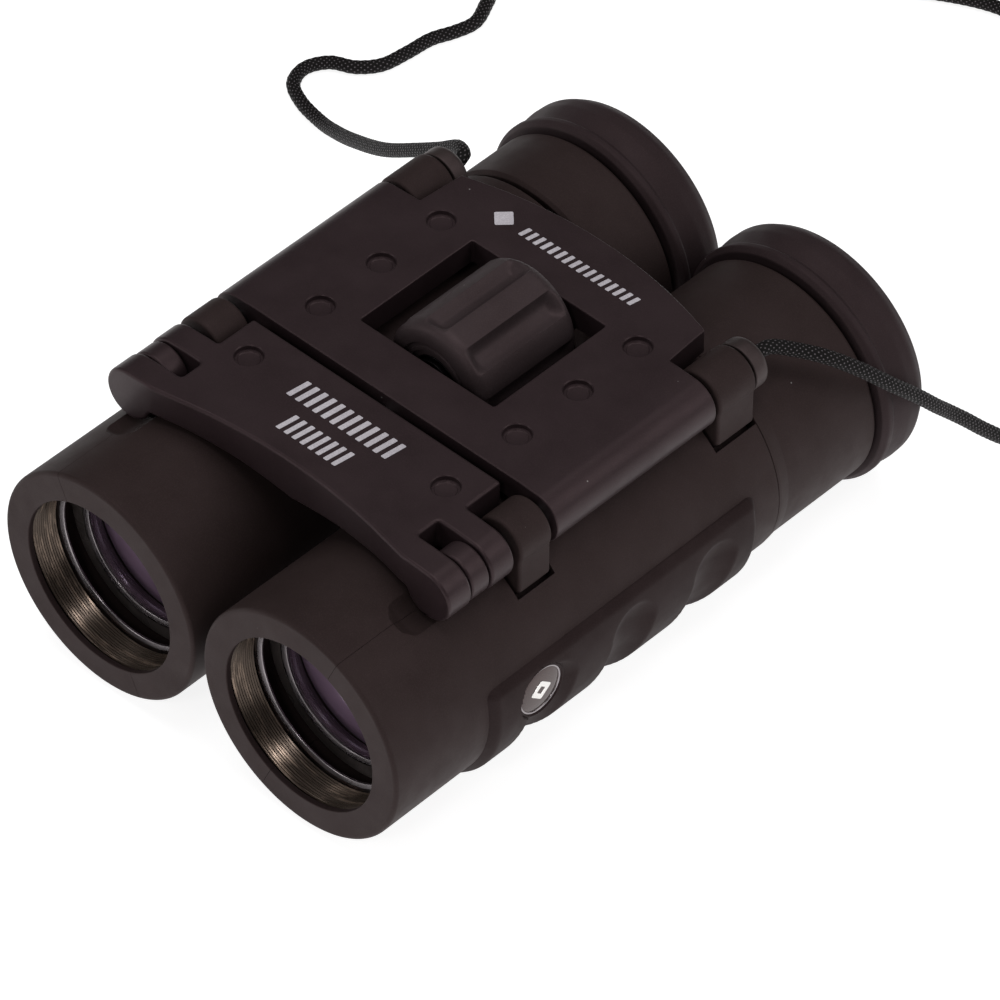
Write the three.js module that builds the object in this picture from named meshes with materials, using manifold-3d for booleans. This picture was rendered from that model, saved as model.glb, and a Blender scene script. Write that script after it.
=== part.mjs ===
// Folding pocket binoculars: two roof-prism barrels hinged to a flat bridge, millimetres, +Z up.
// +Y runs from the objectives to the eyecups, x = 0 is the plane of symmetry, z = 0 is the table.
// "left" is the -X barrel and "right" the +X barrel, as seen from the objective side.
import * as THREE from 'three';
import { mergeVertices } from 'three/addons/utils/BufferGeometryUtils.js';
import Module from 'manifold-3d';

const wasm = await Module();
wasm.setup();

// Driving dimensions
const GAP = 0.3;                    // clearance between neighbouring solids
const BARREL_X = 16.2;              // half the folded spacing of the optical axes
const BARREL_Z = 16.2;              // height of the optical axes above the table
const BARREL_R = 15.45;             // outer radius of the covers at the front rim
const BARREL_REAR_R = 15.25;        // the covers taper to this at their rear end
const TUBE_R = 14.95;               // outer radius of the tubes behind the covers
const COVER_BORE = 13.6;            // inner radius of the covers
const FRONT_OPENING = 11.6;         // radius of the opening in the front rim
const FRONT_Y = -45.5;              // front rims
const LIP_DEPTH = 6.0;              // length of the narrow bore behind the front rim
const REAR_Y = 45.5;                // rear end of the eyecups
const COVER_END_Y = 19.3;           // seam between covers and eyepiece tube
const DIOPTRE_Y = 27.0;             // front face of the dioptre ring, left barrel only
const EYECUP_Y = 37.2;              // front bead of the eyecups
const EYECUP_R = 16.05;             // largest radius of the eyecups

const HINGE_X = 24.0;               // fold axes, parallel to Y
const HINGE_Z = 32.9;
const ROLL_R = 3.6;                 // rolled plate edge around the fold axis
const KNUCKLE_R = 3.5;
const PIN_R = 1.2;
const GROOVE_R = ROLL_R + 0.45;     // trough in the covers that clears the rolled edge

const PLATE_TOP = 36.5;
const PLATE_BOTTOM = 33.0;
const PLATE_FRONT_Y = -14.5;
const ROLL_END_Y = 12.3;            // rear end of the rolled edges of the main plate
const NECK_X = 20.1;                // half width of the plates between the knuckles
const PLATE_REAR_Y = 22.0;          // crown of the curved rear edge
const REAR_CORNER = [19.5, 18.9];
const WINDOW = { halfX: 10.7, y0: -7.4, y1: 11.5 };
const DIMPLE_R = 1.75;
const DIMPLE_DEPTH = 0.6;
const DIMPLE_X = 15.75;
const DIMPLE_YS = [11.5, 1.35, -8.85];

const FRONT_PLATE = { rear: -15.8, front: -31.2, mid: -30.0, ear: -32.4, notch: -22.0 };
const FRONT_DIMPLE_Y = -20.7;
const END_EAR = [-32.4, -28.6];
const SECOND_EAR = [-25.3, -21.6];
const EAR_WALL = 0.7;               // the pin bores stop this far behind the ear ends
const LINK_Y = [-28.3, -25.6];
const LINK_R = 2.9;
const FRONT_KNUCKLE_Y = [-20.6, -15.4];
const REAR_KNUCKLE_Y = [12.9, 19.2];
const LUG_Y = [19.5, 21.9];
const TRAVEL_OUT = 2.0;             // focus travel towards the front
const TRAVEL_IN = 0.8;              // focus travel towards the eye

const WHEEL_R = 7.6;
const WHEEL_Z = 32.9;
const WHEEL_Y = [-6.3, 10.6];
const FLUTES = 7;
const FLUTE_ANGLE = 46;              // of the flute on the right, up from +X
const SCREW_R = 1.4;
const SCREW_Y = [-25.5, 16.7];
const NUT_R = 2.6;
const NUT_Y = [-23.5, -18.0];

const CORD_R = 0.95;
const COIL = { x: -12, y: 134, r: 11, half: 2.85 };

const DEGREE = Math.PI / 180;
const FINE = 36;                    // segments round a barrel
const MEDIUM = 20;
const SMALL = 14;

const finishes = {
  plate: { color: 0x2b2224, roughness: 0.45, metalness: 0.1 },
  cover: { color: 0x2e2728, roughness: 0.62, metalness: 0.0 },
  rubber: { color: 0x232022, roughness: 0.8, metalness: 0.0 },
  steel: { color: 0x8d8f92, roughness: 0.35, metalness: 1.0 },
  brass: { color: 0xa98b4f, roughness: 0.4, metalness: 1.0 },
  anodised: { color: 0x16161a, roughness: 0.4, metalness: 0.8 },
  glass: { color: 0x5c5468, roughness: 0.05, metalness: 0.0 },
  lug: { color: 0x4b3d34, roughness: 0.55, metalness: 0.1 },
  chrome: { color: 0xc9c9c6, roughness: 0.15, metalness: 1.0 },
  cord: { color: 0x141213, roughness: 0.9, metalness: 0.0 },
};

const assembly = new THREE.Group();

function add(name, geometry, finish) {
  const mesh = new THREE.Mesh(geometry, new THREE.MeshStandardMaterial(finishes[finish]));
  mesh.name = name;
  assembly.add(mesh);
}

// Solids and booleans
function toSolid(geometry) {
  const bare = geometry.clone();
  bare.deleteAttribute('normal');
  bare.deleteAttribute('uv');
  const merged = mergeVertices(bare, 1e-4);
  return new wasm.Manifold(new wasm.Mesh({
    numProp: 3,
    vertProperties: new Float32Array(merged.attributes.position.array),
    triVerts: new Uint32Array(merged.index.array),
  }));
}

function toGeometry(solid) {
  const mesh = solid.getMesh();
  const geometry = new THREE.BufferGeometry();
  geometry.setAttribute('position', new THREE.BufferAttribute(mesh.vertProperties, 3));
  geometry.setIndex(new THREE.BufferAttribute(mesh.triVerts, 1));
  geometry.computeVertexNormals();
  return geometry;
}

const join = (...geometries) => toGeometry(geometries.map(toSolid).reduce((a, b) => a.add(b)));
const cut = (body, ...tools) => toGeometry(tools.map(toSolid).reduce((a, b) => a.subtract(b), toSolid(body)));
const common = (a, b) => toGeometry(toSolid(a).intersect(toSolid(b)));

// A profile of [radius, y] points turned about the line (x, z) parallel to Y.
function turned(profile, x, z, segments = FINE) {
  const points = profile.map(([r, y]) => new THREE.Vector2(r, y));
  return new THREE.LatheGeometry(points, segments).translate(x, 0, z);
}

function rod(radius, y0, y1, x, z, segments = SMALL) {
  return turned([[0, y0], [radius, y0], [radius, y1], [0, y1]], x, z, segments);
}

function tube(outer, inner, y0, y1, x, z, segments = FINE) {
  const profile = [[inner, y0], [outer, y0], [outer, y1], [inner, y1], [inner, y0]];
  return turned(profile, x, z, segments);
}

// An outline in the XZ plane pushed from y0 to y1.
function alongY(shape, y0, y1, curveSegments = 9) {
  const options = { depth: y1 - y0, bevelEnabled: false, curveSegments };
  return new THREE.ExtrudeGeometry(shape, options).rotateX(Math.PI / 2).translate(0, y1, 0);
}

// An outline in the XY plane pushed from z0 to z1.
function alongZ(shape, z0, z1, curveSegments = 9) {
  const options = { depth: z1 - z0, bevelEnabled: false, curveSegments };
  return new THREE.ExtrudeGeometry(shape, options).translate(0, 0, z0);
}

function polygon(points) {
  return new THREE.Shape(points.map(([a, b]) => new THREE.Vector2(a, b)));
}

function block(x0, x1, y0, y1, z0, z1) {
  const geometry = new THREE.BoxGeometry(x1 - x0, y1 - y0, z1 - z0);
  return geometry.translate((x0 + x1) / 2, (y0 + y1) / 2, (z0 + z1) / 2);
}

function disc(x, y, z0, z1, radius) {
  const geometry = new THREE.CylinderGeometry(radius, radius, z1 - z0, MEDIUM).rotateX(Math.PI / 2);
  return geometry.translate(x, y, (z0 + z1) / 2);
}

// Cross-section of a bridge plate: flat top, edges rolled round both fold axes, underside from a list.
function plateSection(underside) {
  const drop = Math.asin((HINGE_Z - underside[0][1]) / ROLL_R);
  const shape = new THREE.Shape();
  shape.moveTo(-HINGE_X, HINGE_Z + ROLL_R);
  shape.lineTo(HINGE_X, HINGE_Z + ROLL_R);
  shape.absarc(HINGE_X, HINGE_Z, ROLL_R, Math.PI / 2, -Math.PI + drop, true);
  underside.forEach(([x, z]) => shape.lineTo(x, z));
  shape.absarc(-HINGE_X, HINGE_Z, ROLL_R, -drop, -1.5 * Math.PI, true);
  return shape;
}

function dimples(ys) {
  const spots = ys.flatMap((y) => [[-DIMPLE_X, y], [DIMPLE_X, y]]);
  return spots.map(([x, y]) => disc(x, y, PLATE_TOP - DIMPLE_DEPTH, PLATE_TOP + 1, DIMPLE_R));
}

const pinBores = (y0) => [-1, 1].map((s) => rod(PIN_R + GAP, y0, 30, s * HINGE_X, HINGE_Z));

// Main plate with its rolled edges, curved rear edge, wheel window and two screw bearings.
function mainBridge() {
  const section = plateSection([[NECK_X, PLATE_BOTTOM], [-NECK_X, PLATE_BOTTOM]]);
  const rolled = alongY(section, PLATE_FRONT_Y, ROLL_END_Y);
  const [cornerX, cornerY] = REAR_CORNER;
  const crown = PLATE_REAR_Y - cornerY;
  const radius = (cornerX * cornerX + crown * crown) / (2 * crown);
  const half = Math.asin(cornerX / radius);
  const rear = new THREE.Shape();
  rear.moveTo(-NECK_X, ROLL_END_Y - 1);
  rear.lineTo(NECK_X, ROLL_END_Y - 1);
  rear.lineTo(cornerX, cornerY);
  rear.absarc(0, PLATE_REAR_Y - radius, radius, Math.PI / 2 - half, Math.PI / 2 + half, false);
  const tail = alongZ(rear, PLATE_BOTTOM, PLATE_TOP, 24);
  const frontBearing = block(-3.5, 3.5, PLATE_FRONT_Y + 1.5, WINDOW.y0 - 0.6, 29.6, PLATE_BOTTOM + 1);
  const rearBearing = block(-3.5, 3.5, WINDOW.y1 + 0.6, WINDOW.y1 + 5.5, 29.6, PLATE_BOTTOM + 1);
  const opening = block(-WINDOW.halfX, WINDOW.halfX, WINDOW.y0, WINDOW.y1, 25, 40);
  const screwBore = rod(SCREW_R + GAP, -30, 25, 0, WHEEL_Z);
  return cut(join(rolled, tail, frontBearing, rearBearing), opening, screwBore, ...pinBores(-40),
    ...dimples(DIMPLE_YS));
}

// Front plate: it slides along the fold pins and carries the two lens links between its ears.
function frontBridge() {
  const arch = [[20.47, 32.2], [16.2, 32.2], [8, 31.5], [0, 30.4], [-8, 31.5], [-16.2, 32.2], [-20.47, 32.2]];
  const slab = alongY(plateSection(arch), END_EAR[0], FRONT_PLATE.rear);
  const { front, mid, ear, rear, notch } = FRONT_PLATE;
  const side = NECK_X - 0.3;
  const earX = HINGE_X + ROLL_R + 1;
  const outline = new THREE.Shape();
  outline.moveTo(-side, rear);
  outline.lineTo(-side, notch + 0.4);
  outline.lineTo(-earX, notch + 0.4);
  outline.lineTo(-earX, ear);
  outline.lineTo(-20, ear);
  outline.lineTo(-14, front);
  outline.quadraticCurveTo(0, 2 * mid - front, 14, front);
  outline.lineTo(20, ear);
  outline.lineTo(earX, ear);
  outline.lineTo(earX, notch + 0.4);
  outline.lineTo(side, notch + 0.4);
  outline.lineTo(side, rear);
  const trimmed = common(slab, alongZ(outline, 20, 45));
  const linkRooms = [-1, 1].map((s) => {
    const inner = s * 18.9;
    const outer = s * (earX + 1);
    return block(Math.min(inner, outer), Math.max(inner, outer), END_EAR[1], SECOND_EAR[0], 20, 45);
  });
  const nutBlock = block(-4.5, 4.5, -24.5, -17.5, 28.9, 32.5);
  const nutBore = rod(NUT_R + GAP, NUT_Y[0] - GAP, -10, 0, WHEEL_Z);
  const screwRoom = rod(SCREW_R + GAP, SCREW_Y[0] - 1.5, NUT_Y[0], 0, WHEEL_Z);
  return cut(join(trimmed, nutBlock), ...linkRooms, nutBore, screwRoom, ...pinBores(END_EAR[0] + EAR_WALL),
    ...dimples([FRONT_DIMPLE_Y]));
}

function focusNut() {
  return tube(NUT_R, SCREW_R + GAP, ...NUT_Y, 0, WHEEL_Z, MEDIUM);
}

// Rubber wheel with long flutes that stop short of its ends.
function focusWheel() {
  const [y0, y1] = WHEEL_Y;
  const profile = [[3.2, y0 + 0.5], [5.9, y0], [6.9, y0 + 0.4], [WHEEL_R, y0 + 1.8], [WHEEL_R, y1 - 1.8],
    [6.9, y1 - 0.4], [5.9, y1], [3.2, y1 - 0.5], [3.2, y0 + 0.5]];
  const body = turned(profile, 0, WHEEL_Z, 36);
  const flutes = Array.from({ length: FLUTES }, (_, i) => {
    const angle = (FLUTE_ANGLE + (i * 360) / FLUTES) * Math.PI / 180;
    const reach = WHEEL_R + 1.3;
    return rod(2.0, y0 + 2.6, y1 - 2.6, reach * Math.cos(angle), WHEEL_Z + reach * Math.sin(angle), 16);
  });
  return cut(body, ...flutes);
}

function focusHub() {
  return turned([[SCREW_R + GAP, -6.9], [2.9, -6.9], [2.9, 11.0], [SCREW_R + GAP, 11.0],
    [SCREW_R + GAP, -6.9]], 0, WHEEL_Z, MEDIUM);
}

function focusScrew() {
  return rod(SCREW_R, ...SCREW_Y, 0, WHEEL_Z);
}

// Half shells of a barrel, split along a plane through the optical axis.
function coverTube(side) {
  const lipEnd = FRONT_Y + LIP_DEPTH;
  return turned([[FRONT_OPENING, FRONT_Y], [BARREL_R, FRONT_Y], [BARREL_REAR_R, COVER_END_Y],
    [COVER_BORE, COVER_END_Y], [COVER_BORE, lipEnd], [FRONT_OPENING, lipEnd], [FRONT_OPENING, FRONT_Y]],
  side * BARREL_X, BARREL_Z);
}

const SPLIT_ANGLE = 66 * DEGREE;

// A slab wider than the barrel on one side of the split plane, seen along Y.
function splitHalf(side, outward) {
  const reach = 30;
  const c = Math.cos(SPLIT_ANGLE);
  const s = Math.sin(SPLIT_ANGLE);
  const n = outward ? [s, -c] : [-s, c];
  const start = GAP / 2;
  const corners = [[start, reach], [reach, reach], [reach, -reach], [start, -reach]];
  const points = corners.map(([u, v]) => [
    side * (BARREL_X + n[0] * u + c * v), BARREL_Z + n[1] * u + s * v]);
  return alongY(polygon(points), FRONT_Y - 1, COVER_END_Y + 1);
}

// Strap that joins a knuckle on the fold axis to the tube inside the covers.
function strapOutline(side, grow) {
  const g = grow;
  const points = [[27.25 + g, HINGE_Z], [27.25 + g, 27.1 - g], [25.6 + g, 25.1 - 1.4 * g],
    [20.6 - g, 28.2 - 1.2 * g], [20.5 - g, HINGE_Z]];
  return polygon(points.map(([x, z]) => [side * x, z]));
}

function linkOutline(side, grow) {
  const g = grow;
  const points = [[26.4 + g, HINGE_Z], [26.4 + g, 27.9 - g], [25.0 + g, 25.6 - 1.4 * g],
    [21.8 - g, 27.7 - 1.2 * g], [21.6 - g, HINGE_Z]];
  return polygon(points.map(([x, z]) => [side * x, z]));
}

function coverCuts(side) {
  const groove = rod(GROOVE_R, -35.2, COVER_END_Y + 1, side * HINGE_X, HINGE_Z, 40);
  const slots = [FRONT_KNUCKLE_Y, [REAR_KNUCKLE_Y[0], COVER_END_Y + 1]].map(([y0, y1]) =>
    alongY(strapOutline(side, 0.4), y0 - 0.5, y1 + 0.4));
  const linkSlot = alongY(linkOutline(side, 0.4), LINK_Y[0] - TRAVEL_OUT - 0.4, LINK_Y[1] + TRAVEL_IN + 0.4);
  return [groove, ...slots, linkSlot];
}

// The point at a radius and an angle round the optical axis, angle 0 on the outer side.
function around(side, r, angle) {
  return [side * (BARREL_X + r * Math.cos(angle)), BARREL_Z + r * Math.sin(angle)];
}

// A curved slab round the barrel, its two long edges leaning in by a small chamfer.
function arcSlab(side, { y0, y1, inner, outer, from, to }, steps) {
  const angles = Array.from({ length: steps + 1 }, (_, i) => (from + (to - from) * i / steps) * DEGREE);
  const chamfer = Math.sign(to - from) * 1.5 * DEGREE;
  const outside = angles.map((a, i) => {
    const lean = i === 0 ? chamfer : i === steps ? -chamfer : 0;
    return around(side, outer, a + lean);
  });
  const inside = angles.map((a) => around(side, inner, a)).reverse();
  return alongY(polygon([...outside, ...inside]), y0, y1);
}

// Raised pad moulded on the inner side of the covers, relieved under the focus wheel.
const INNER_PAD = { y0: -30.4, y1: 15.1, inner: 14.9, outer: 15.95, from: 118, to: 240 };
const INNER_PAD_STEPS = 16;

function innerCover(side) {
  const shell = common(coverTube(side), splitHalf(side, false));
  const wheelRoom = rod(WHEEL_R + 0.4, WHEEL_Y[0] - 0.5, WHEEL_Y[1] + 0.5, 0, WHEEL_Z, MEDIUM);
  return cut(join(shell, arcSlab(side, INNER_PAD, INNER_PAD_STEPS)), wheelRoom, ...coverCuts(side));
}

// Grip: a rubber pad let into the outer and lower side, with three slanting finger hollows.
const GRIP = { y0: -30.3, y1: 15.1, inner: 14.6, outer: 16.2, from: 16, to: -104 };
const GRIP_STEPS = 22;

function outerCover(side) {
  const edge = GAP / GRIP.inner / DEGREE;
  const recess = { y0: GRIP.y0 - GAP, y1: GRIP.y1 + GAP, inner: GRIP.inner - GAP, outer: 18,
    from: GRIP.from + edge, to: GRIP.to - edge };
  const shell = common(coverTube(side), splitHalf(side, true));
  return cut(shell, arcSlab(side, recess, GRIP_STEPS), ...coverCuts(side));
}

// Tube inside the covers with the two big knuckles that turn on the fold pin.
function barrelFrame(side) {
  const x = side * BARREL_X;
  const sleeve = tube(13.3, 12.3, FRONT_KNUCKLE_Y[0], REAR_KNUCKLE_Y[1], x, BARREL_Z);
  const arms = [FRONT_KNUCKLE_Y, REAR_KNUCKLE_Y].flatMap(([y0, y1]) => [
    rod(KNUCKLE_R, y0, y1, side * HINGE_X, HINGE_Z, MEDIUM),
    alongY(strapOutline(side, 0), y0, y1)]);
  return cut(join(sleeve, ...arms), rod(PIN_R + GAP, -40, 30, side * HINGE_X, HINGE_Z),
    rod(12.3, -40, 30, x, BARREL_Z, FINE));
}

// Objective cell with the link that reaches through the cover to the front plate.
function objectiveCell(side) {
  const x = side * BARREL_X;
  const cell = turned([[10.9, -37.2], [13.2, -37.2], [13.2, -22.0], [9.8, -22.0], [9.8, -30.7],
    [10.9, -30.7], [10.9, -37.2]], x, BARREL_Z);
  const link = join(rod(LINK_R, ...LINK_Y, side * HINGE_X, HINGE_Z, MEDIUM),
    alongY(linkOutline(side, 0), ...LINK_Y));
  return cut(join(cell, link), rod(PIN_R + GAP, -40, 30, side * HINGE_X, HINGE_Z),
    rod(9.8, -40, -20, x, BARREL_Z, FINE));
}

function arcProfile(radius, edgeY, rise, steps) {
  return Array.from({ length: steps + 1 }, (_, i) => {
    const r = radius * i / steps;
    return [r, edgeY + rise * (1 - (r / radius) ** 2)];
  });
}

// A lens bulging by front and rear at its middle.
function lens(radius, y0, y1, front, rear, side) {
  const first = arcProfile(radius, y0, -front, 3);
  const second = arcProfile(radius, y1, rear, 3).reverse();
  return turned([...first, ...second], side * BARREL_X, BARREL_Z, 24);
}

// Prism pair of a straight-through erecting system, cut as outlines in the YZ plane.
function prism(points, halfWidth, side) {
  const options = { depth: 2 * halfWidth, bevelEnabled: false };
  const solid = new THREE.ExtrudeGeometry(polygon(points), options);
  const upright = solid.rotateX(Math.PI / 2).rotateZ(Math.PI / 2);
  return upright.translate(side * BARREL_X - halfWidth, 0, BARREL_Z);
}

const HOLLOW_YS = [-21.6, -8.2, 5.7]; // where the hollows cross their middle angle
const HOLLOW = { from: -5, middle: -35, to: -58, ring: 21, r: 6, slant: 0.055 };
const BADGE = { y: -21.9, angle: -2, r: 3.6, base: 15.25, rise: 0.75 };

// A groove of round section that runs round the barrel and slants forward on its way down.
function fingerHollow(side, y) {
  const at = (angle) => {
    const [x, z] = around(side, HOLLOW.ring, angle * DEGREE);
    return new THREE.Vector3(x, y + HOLLOW.slant * (angle - HOLLOW.middle), z);
  };
  const stations = [0, 0.25, 0.5, 0.75, 1].map((t) => at(HOLLOW.from + (HOLLOW.to - HOLLOW.from) * t));
  const extrudePath = new THREE.CatmullRomCurve3(stations);
  const section = new THREE.Shape();
  section.absarc(0, 0, HOLLOW.r, 0, 2 * Math.PI, false);
  const groove = new THREE.ExtrudeGeometry(section, { steps: 5, extrudePath, bevelEnabled: false,
    curveSegments: 10 });
  const ends = [stations.at(0), stations.at(-1)].map((centre) =>
    new THREE.SphereGeometry(HOLLOW.r, 20, 14).translate(...centre));
  return [groove, ...ends];
}

// Turns a shape made about +Y so that it stands on the barrel at the badge, its foot at radius r.
function onBadge(side, r, geometry) {
  const angle = BADGE.angle * DEGREE;
  const [x, z] = around(side, r, angle);
  return geometry.rotateZ(-side * Math.PI / 2).rotateY(-side * angle).translate(x, BADGE.y, z);
}

function gripPad(side) {
  const pocket = onBadge(side, BADGE.base - GAP, rod(BADGE.r + GAP, 0, 5, 0, 0, 28));
  return cut(arcSlab(side, GRIP, GRIP_STEPS), ...HOLLOW_YS.flatMap((y) => fingerHollow(side, y)), pocket);
}

// Domed badge in a round pocket at the front finger hollow.
function badge(side) {
  const { r, rise } = BADGE;
  const dome = turned([[0, 0], [r, 0], [r, 0.2], [r * 0.7, rise - 0.15], [0, rise]], 0, 0, 28);
  return onBadge(side, BADGE.base, dome);
}

const DIOPTRE_GAP = 0.8;             // open ring in front of the dioptre ring

function eyepieceTube(side) {
  const front = COVER_END_Y + GAP;
  const end = side > 0 ? EYECUP_Y - 0.4 : DIOPTRE_Y - DIOPTRE_GAP;
  const sleeve = turned([[13.2, front], [BARREL_REAR_R - 0.05, front], [TUBE_R, front + 1.6],
    [TUBE_R, end - 0.5], [TUBE_R - 0.5, end], [13.2, end], [13.2, front]], side * BARREL_X, BARREL_Z);
  return cut(sleeve, rod(GROOVE_R, 0, LUG_Y[1] + 0.4, side * HINGE_X, HINGE_Z, 40));
}

function dioptreRing(side) {
  const end = EYECUP_Y - 0.4;
  return turned([[13.2, DIOPTRE_Y], [TUBE_R - 0.4, DIOPTRE_Y], [TUBE_R, DIOPTRE_Y + 0.5], [TUBE_R, end - 0.5],
    [TUBE_R - 0.5, end], [13.2, end], [13.2, DIOPTRE_Y]], side * BARREL_X, BARREL_Z);
}

// Ocular barrel: holds the two eyepiece lenses.
function ocularTube(side) {
  return turned([[8.0, 23.0], [12.9, 23.0], [12.9, 40.2], [9.0, 40.2], [9.0, 39.0], [10.0, 39.0],
    [10.0, 33.6], [8.0, 33.6], [8.0, 23.0]], side * BARREL_X, BARREL_Z);
}

// Rubber eyecup: front bead, hollow neck, rounded rear lip and an open cup for the eye.
function eyecup(side) {
  const r = EYECUP_R;
  return turned([[13.2, EYECUP_Y], [r - 0.6, EYECUP_Y], [r - 0.1, EYECUP_Y + 0.4], [r, EYECUP_Y + 0.8],
    [r, EYECUP_Y + 1.3], [r - 0.3, EYECUP_Y + 1.8], [r - 0.25, EYECUP_Y + 2.4], [r, EYECUP_Y + 4.6],
    [r - 0.05, REAR_Y - 2.5], [r - 0.35, REAR_Y - 1.6], [r - 1.0, REAR_Y - 0.75], [r - 1.8, REAR_Y - 0.2],
    [r - 2.6, REAR_Y], [13.1, REAR_Y - 0.3], [13.0, REAR_Y - 1.5], [13.2, EYECUP_Y]],
  side * BARREL_X, BARREL_Z);
}

function lugCap(side) {
  return turned([[PIN_R + GAP, LUG_Y[0]], [3.3, LUG_Y[0]], [3.3, LUG_Y[1] - 0.6], [2.7, LUG_Y[1]],
    [1.3, LUG_Y[1]], [1.3, LUG_Y[1] - 0.5], [PIN_R + GAP, LUG_Y[1] - 0.5], [PIN_R + GAP, LUG_Y[0]]],
  side * HINGE_X, HINGE_Z, MEDIUM);
}

// Neck cord: one length from lug to lug, its spare length in a tied coil behind the binoculars.
const LAID_Z = CORD_R + 0.02;
const LEFT_LEAD = [[-24, 22.3, 32.9], [-24.3, 24.2, 33.2], [-26.3, 25.6, 32.3], [-30.8, 27, 28.4],
  [-36.6, 28.6, 23.6], [-44, 31.2, 17.4], [-54, 36.2, 9.4]];
const LEFT_RUN = [[-54.4, 36.4, 9.1], [-60.5, 39.6, 4.6], [-65.8, 42, 1.7], [-70.8, 43.6, LAID_Z],
  [-73.9, 45.4, LAID_Z], [-74.9, 48.4, LAID_Z], [-73.4, 51.4, LAID_Z], [-70.4, 53, LAID_Z],
  [-68.3, 55.6, LAID_Z], [-67.6, 59.5, LAID_Z], [-67.2, 63.5, LAID_Z], [-66, 66.6, LAID_Z],
  [-65.4, 69.6, LAID_Z], [-67, 73.6, LAID_Z], [-69.5, 79, LAID_Z], [-67.5, 85, LAID_Z],
  [-60, 91, LAID_Z], [-49, 97.5, LAID_Z], [-38, 106, LAID_Z], [-28, 113.5, LAID_Z],
  [-20, 117.4, LAID_Z], [-13.4, 118.3, LAID_Z]];
const RIGHT_LEAD = [[24, 22.3, 32.9], [24.4, 24.6, 33.1], [26.2, 27.2, 32.1], [28.6, 29.8, 30.8],
  [30.8, 33.2, 28], [32.6, 37.4, 23.7], [33.4, 41.4, 19.6], [33.6, 44.6, 16], [33.5, 46.8, 13.6]];
const RIGHT_RUN = [[33.45, 47.15, 13.2], [33.8, 49.8, 10.4], [34.4, 53.4, 6.4], [35.0, 56.8, 3.1],
  [35.6, 59.6, 1.5], [36.3, 62.2, LAID_Z], [36.4, 65.5, LAID_Z], [34.5, 71, LAID_Z], [28.5, 78.5, LAID_Z],
  [19.5, 87, LAID_Z], [11, 96.5, LAID_Z], [3.5, 106.5, LAID_Z], [-2.5, 114.5, LAID_Z],
  [-6.6, 117.8, LAID_Z], [-10.6, 118.3, LAID_Z]];

function cordTube(points, steps) {
  const path = new THREE.CatmullRomCurve3(points.map(([x, y, z]) => new THREE.Vector3(x, y, z)));
  const section = new THREE.Shape();
  section.absarc(0, 0, CORD_R, 0, 2 * Math.PI, false);
  const options = { steps, extrudePath: path, bevelEnabled: false, curveSegments: 4 };
  return new THREE.ExtrudeGeometry(section, options);
}

function cordCoil() {
  const { x, y, r, half } = COIL;
  const ring = tube(r + half, r - half, 0, 2 * half, 0, 0, 36).rotateX(Math.PI / 2);
  return ring.translate(x, y, 0.02);
}

// Twist tie bent over the coil and both strands.
function cordTie() {
  const near = COIL.y - COIL.r - COIL.half - 2 * CORD_R - 2.1;
  const far = COIL.y - COIL.r + COIL.half + 0.8;
  const top = 2 * COIL.half + 0.5;
  const wall = 0.8;
  const arch = [[near, 0], [near, top + wall], [far + wall, top + wall], [far + wall, 0], [far, 0],
    [far, top], [near + wall, top], [near + wall, 0]];
  const options = { depth: 5, bevelEnabled: false };
  const solid = new THREE.ExtrudeGeometry(polygon(arch), options);
  return solid.rotateX(Math.PI / 2).rotateZ(Math.PI / 2).translate(COIL.x - 2.5, 0, 0);
}

add('main_bridge', mainBridge(), 'plate');
add('front_bridge', frontBridge(), 'plate');
add('focus_nut', focusNut(), 'brass');
add('focus_wheel', focusWheel(), 'rubber');
add('focus_wheel_hub', focusHub(), 'plate');
add('focus_screw', focusScrew(), 'steel');

for (const [name, side] of [['left', -1], ['right', 1]]) {
  const x = side * BARREL_X;
  const pinFront = END_EAR[0] + EAR_WALL + TRAVEL_IN + GAP;
  add(`${name}_hinge_pin`, rod(PIN_R, pinFront, LUG_Y[1] - 1.0, side * HINGE_X, HINGE_Z), 'steel');
  add(`${name}_lug_cap`, lugCap(side), 'lug');
  add(`${name}_barrel_frame`, barrelFrame(side), 'cover');
  add(`${name}_inner_cover`, innerCover(side), 'cover');
  add(`${name}_outer_cover`, outerCover(side), 'cover');
  add(`${name}_grip_pad`, gripPad(side), 'rubber');
  add(`${name}_badge`, badge(side), 'chrome');
  add(`${name}_objective_cell`, objectiveCell(side), 'anodised');
  add(`${name}_objective_lens`, lens(10.6, -34.9, -31.3, 1.1, 0.3, side), 'glass');
  add(`${name}_lens_retainer`, tube(10.6, 9.7, -37.0, -35.3, x, BARREL_Z), 'anodised');
  add(`${name}_prism_cage`, tube(12.0, 11.2, -14, 12, x, BARREL_Z), 'anodised');
  add(`${name}_half_penta_prism`, prism([[-12.5, -7.5], [-12.5, 7.5], [-5.5, 7.5], [-0.4, -3.6],
    [-2.4, -7.5]], 7.5, side), 'glass');
  add(`${name}_roof_prism`, prism([[-4.9, 7.5], [8.5, 7.5], [8.5, -2.0], [0.2, -3.6]], 7.5, side), 'glass');
  add(`${name}_field_stop`, tube(12.0, 6.0, 14, 15, x, BARREL_Z), 'anodised');
  add(`${name}_eyepiece_tube`, eyepieceTube(side), 'cover');
  add(`${name}_ocular_tube`, ocularTube(side), 'anodised');
  add(`${name}_field_lens`, lens(7.7, 24.6, 27.4, 0.8, 0.8, side), 'glass');
  add(`${name}_eye_lens`, lens(9.7, 34.6, 38.0, 0.7, 0.6, side), 'glass');
  add(`${name}_eyecup`, eyecup(side), 'rubber');
}
add('dioptre_ring', dioptreRing(-1), 'cover');

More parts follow.
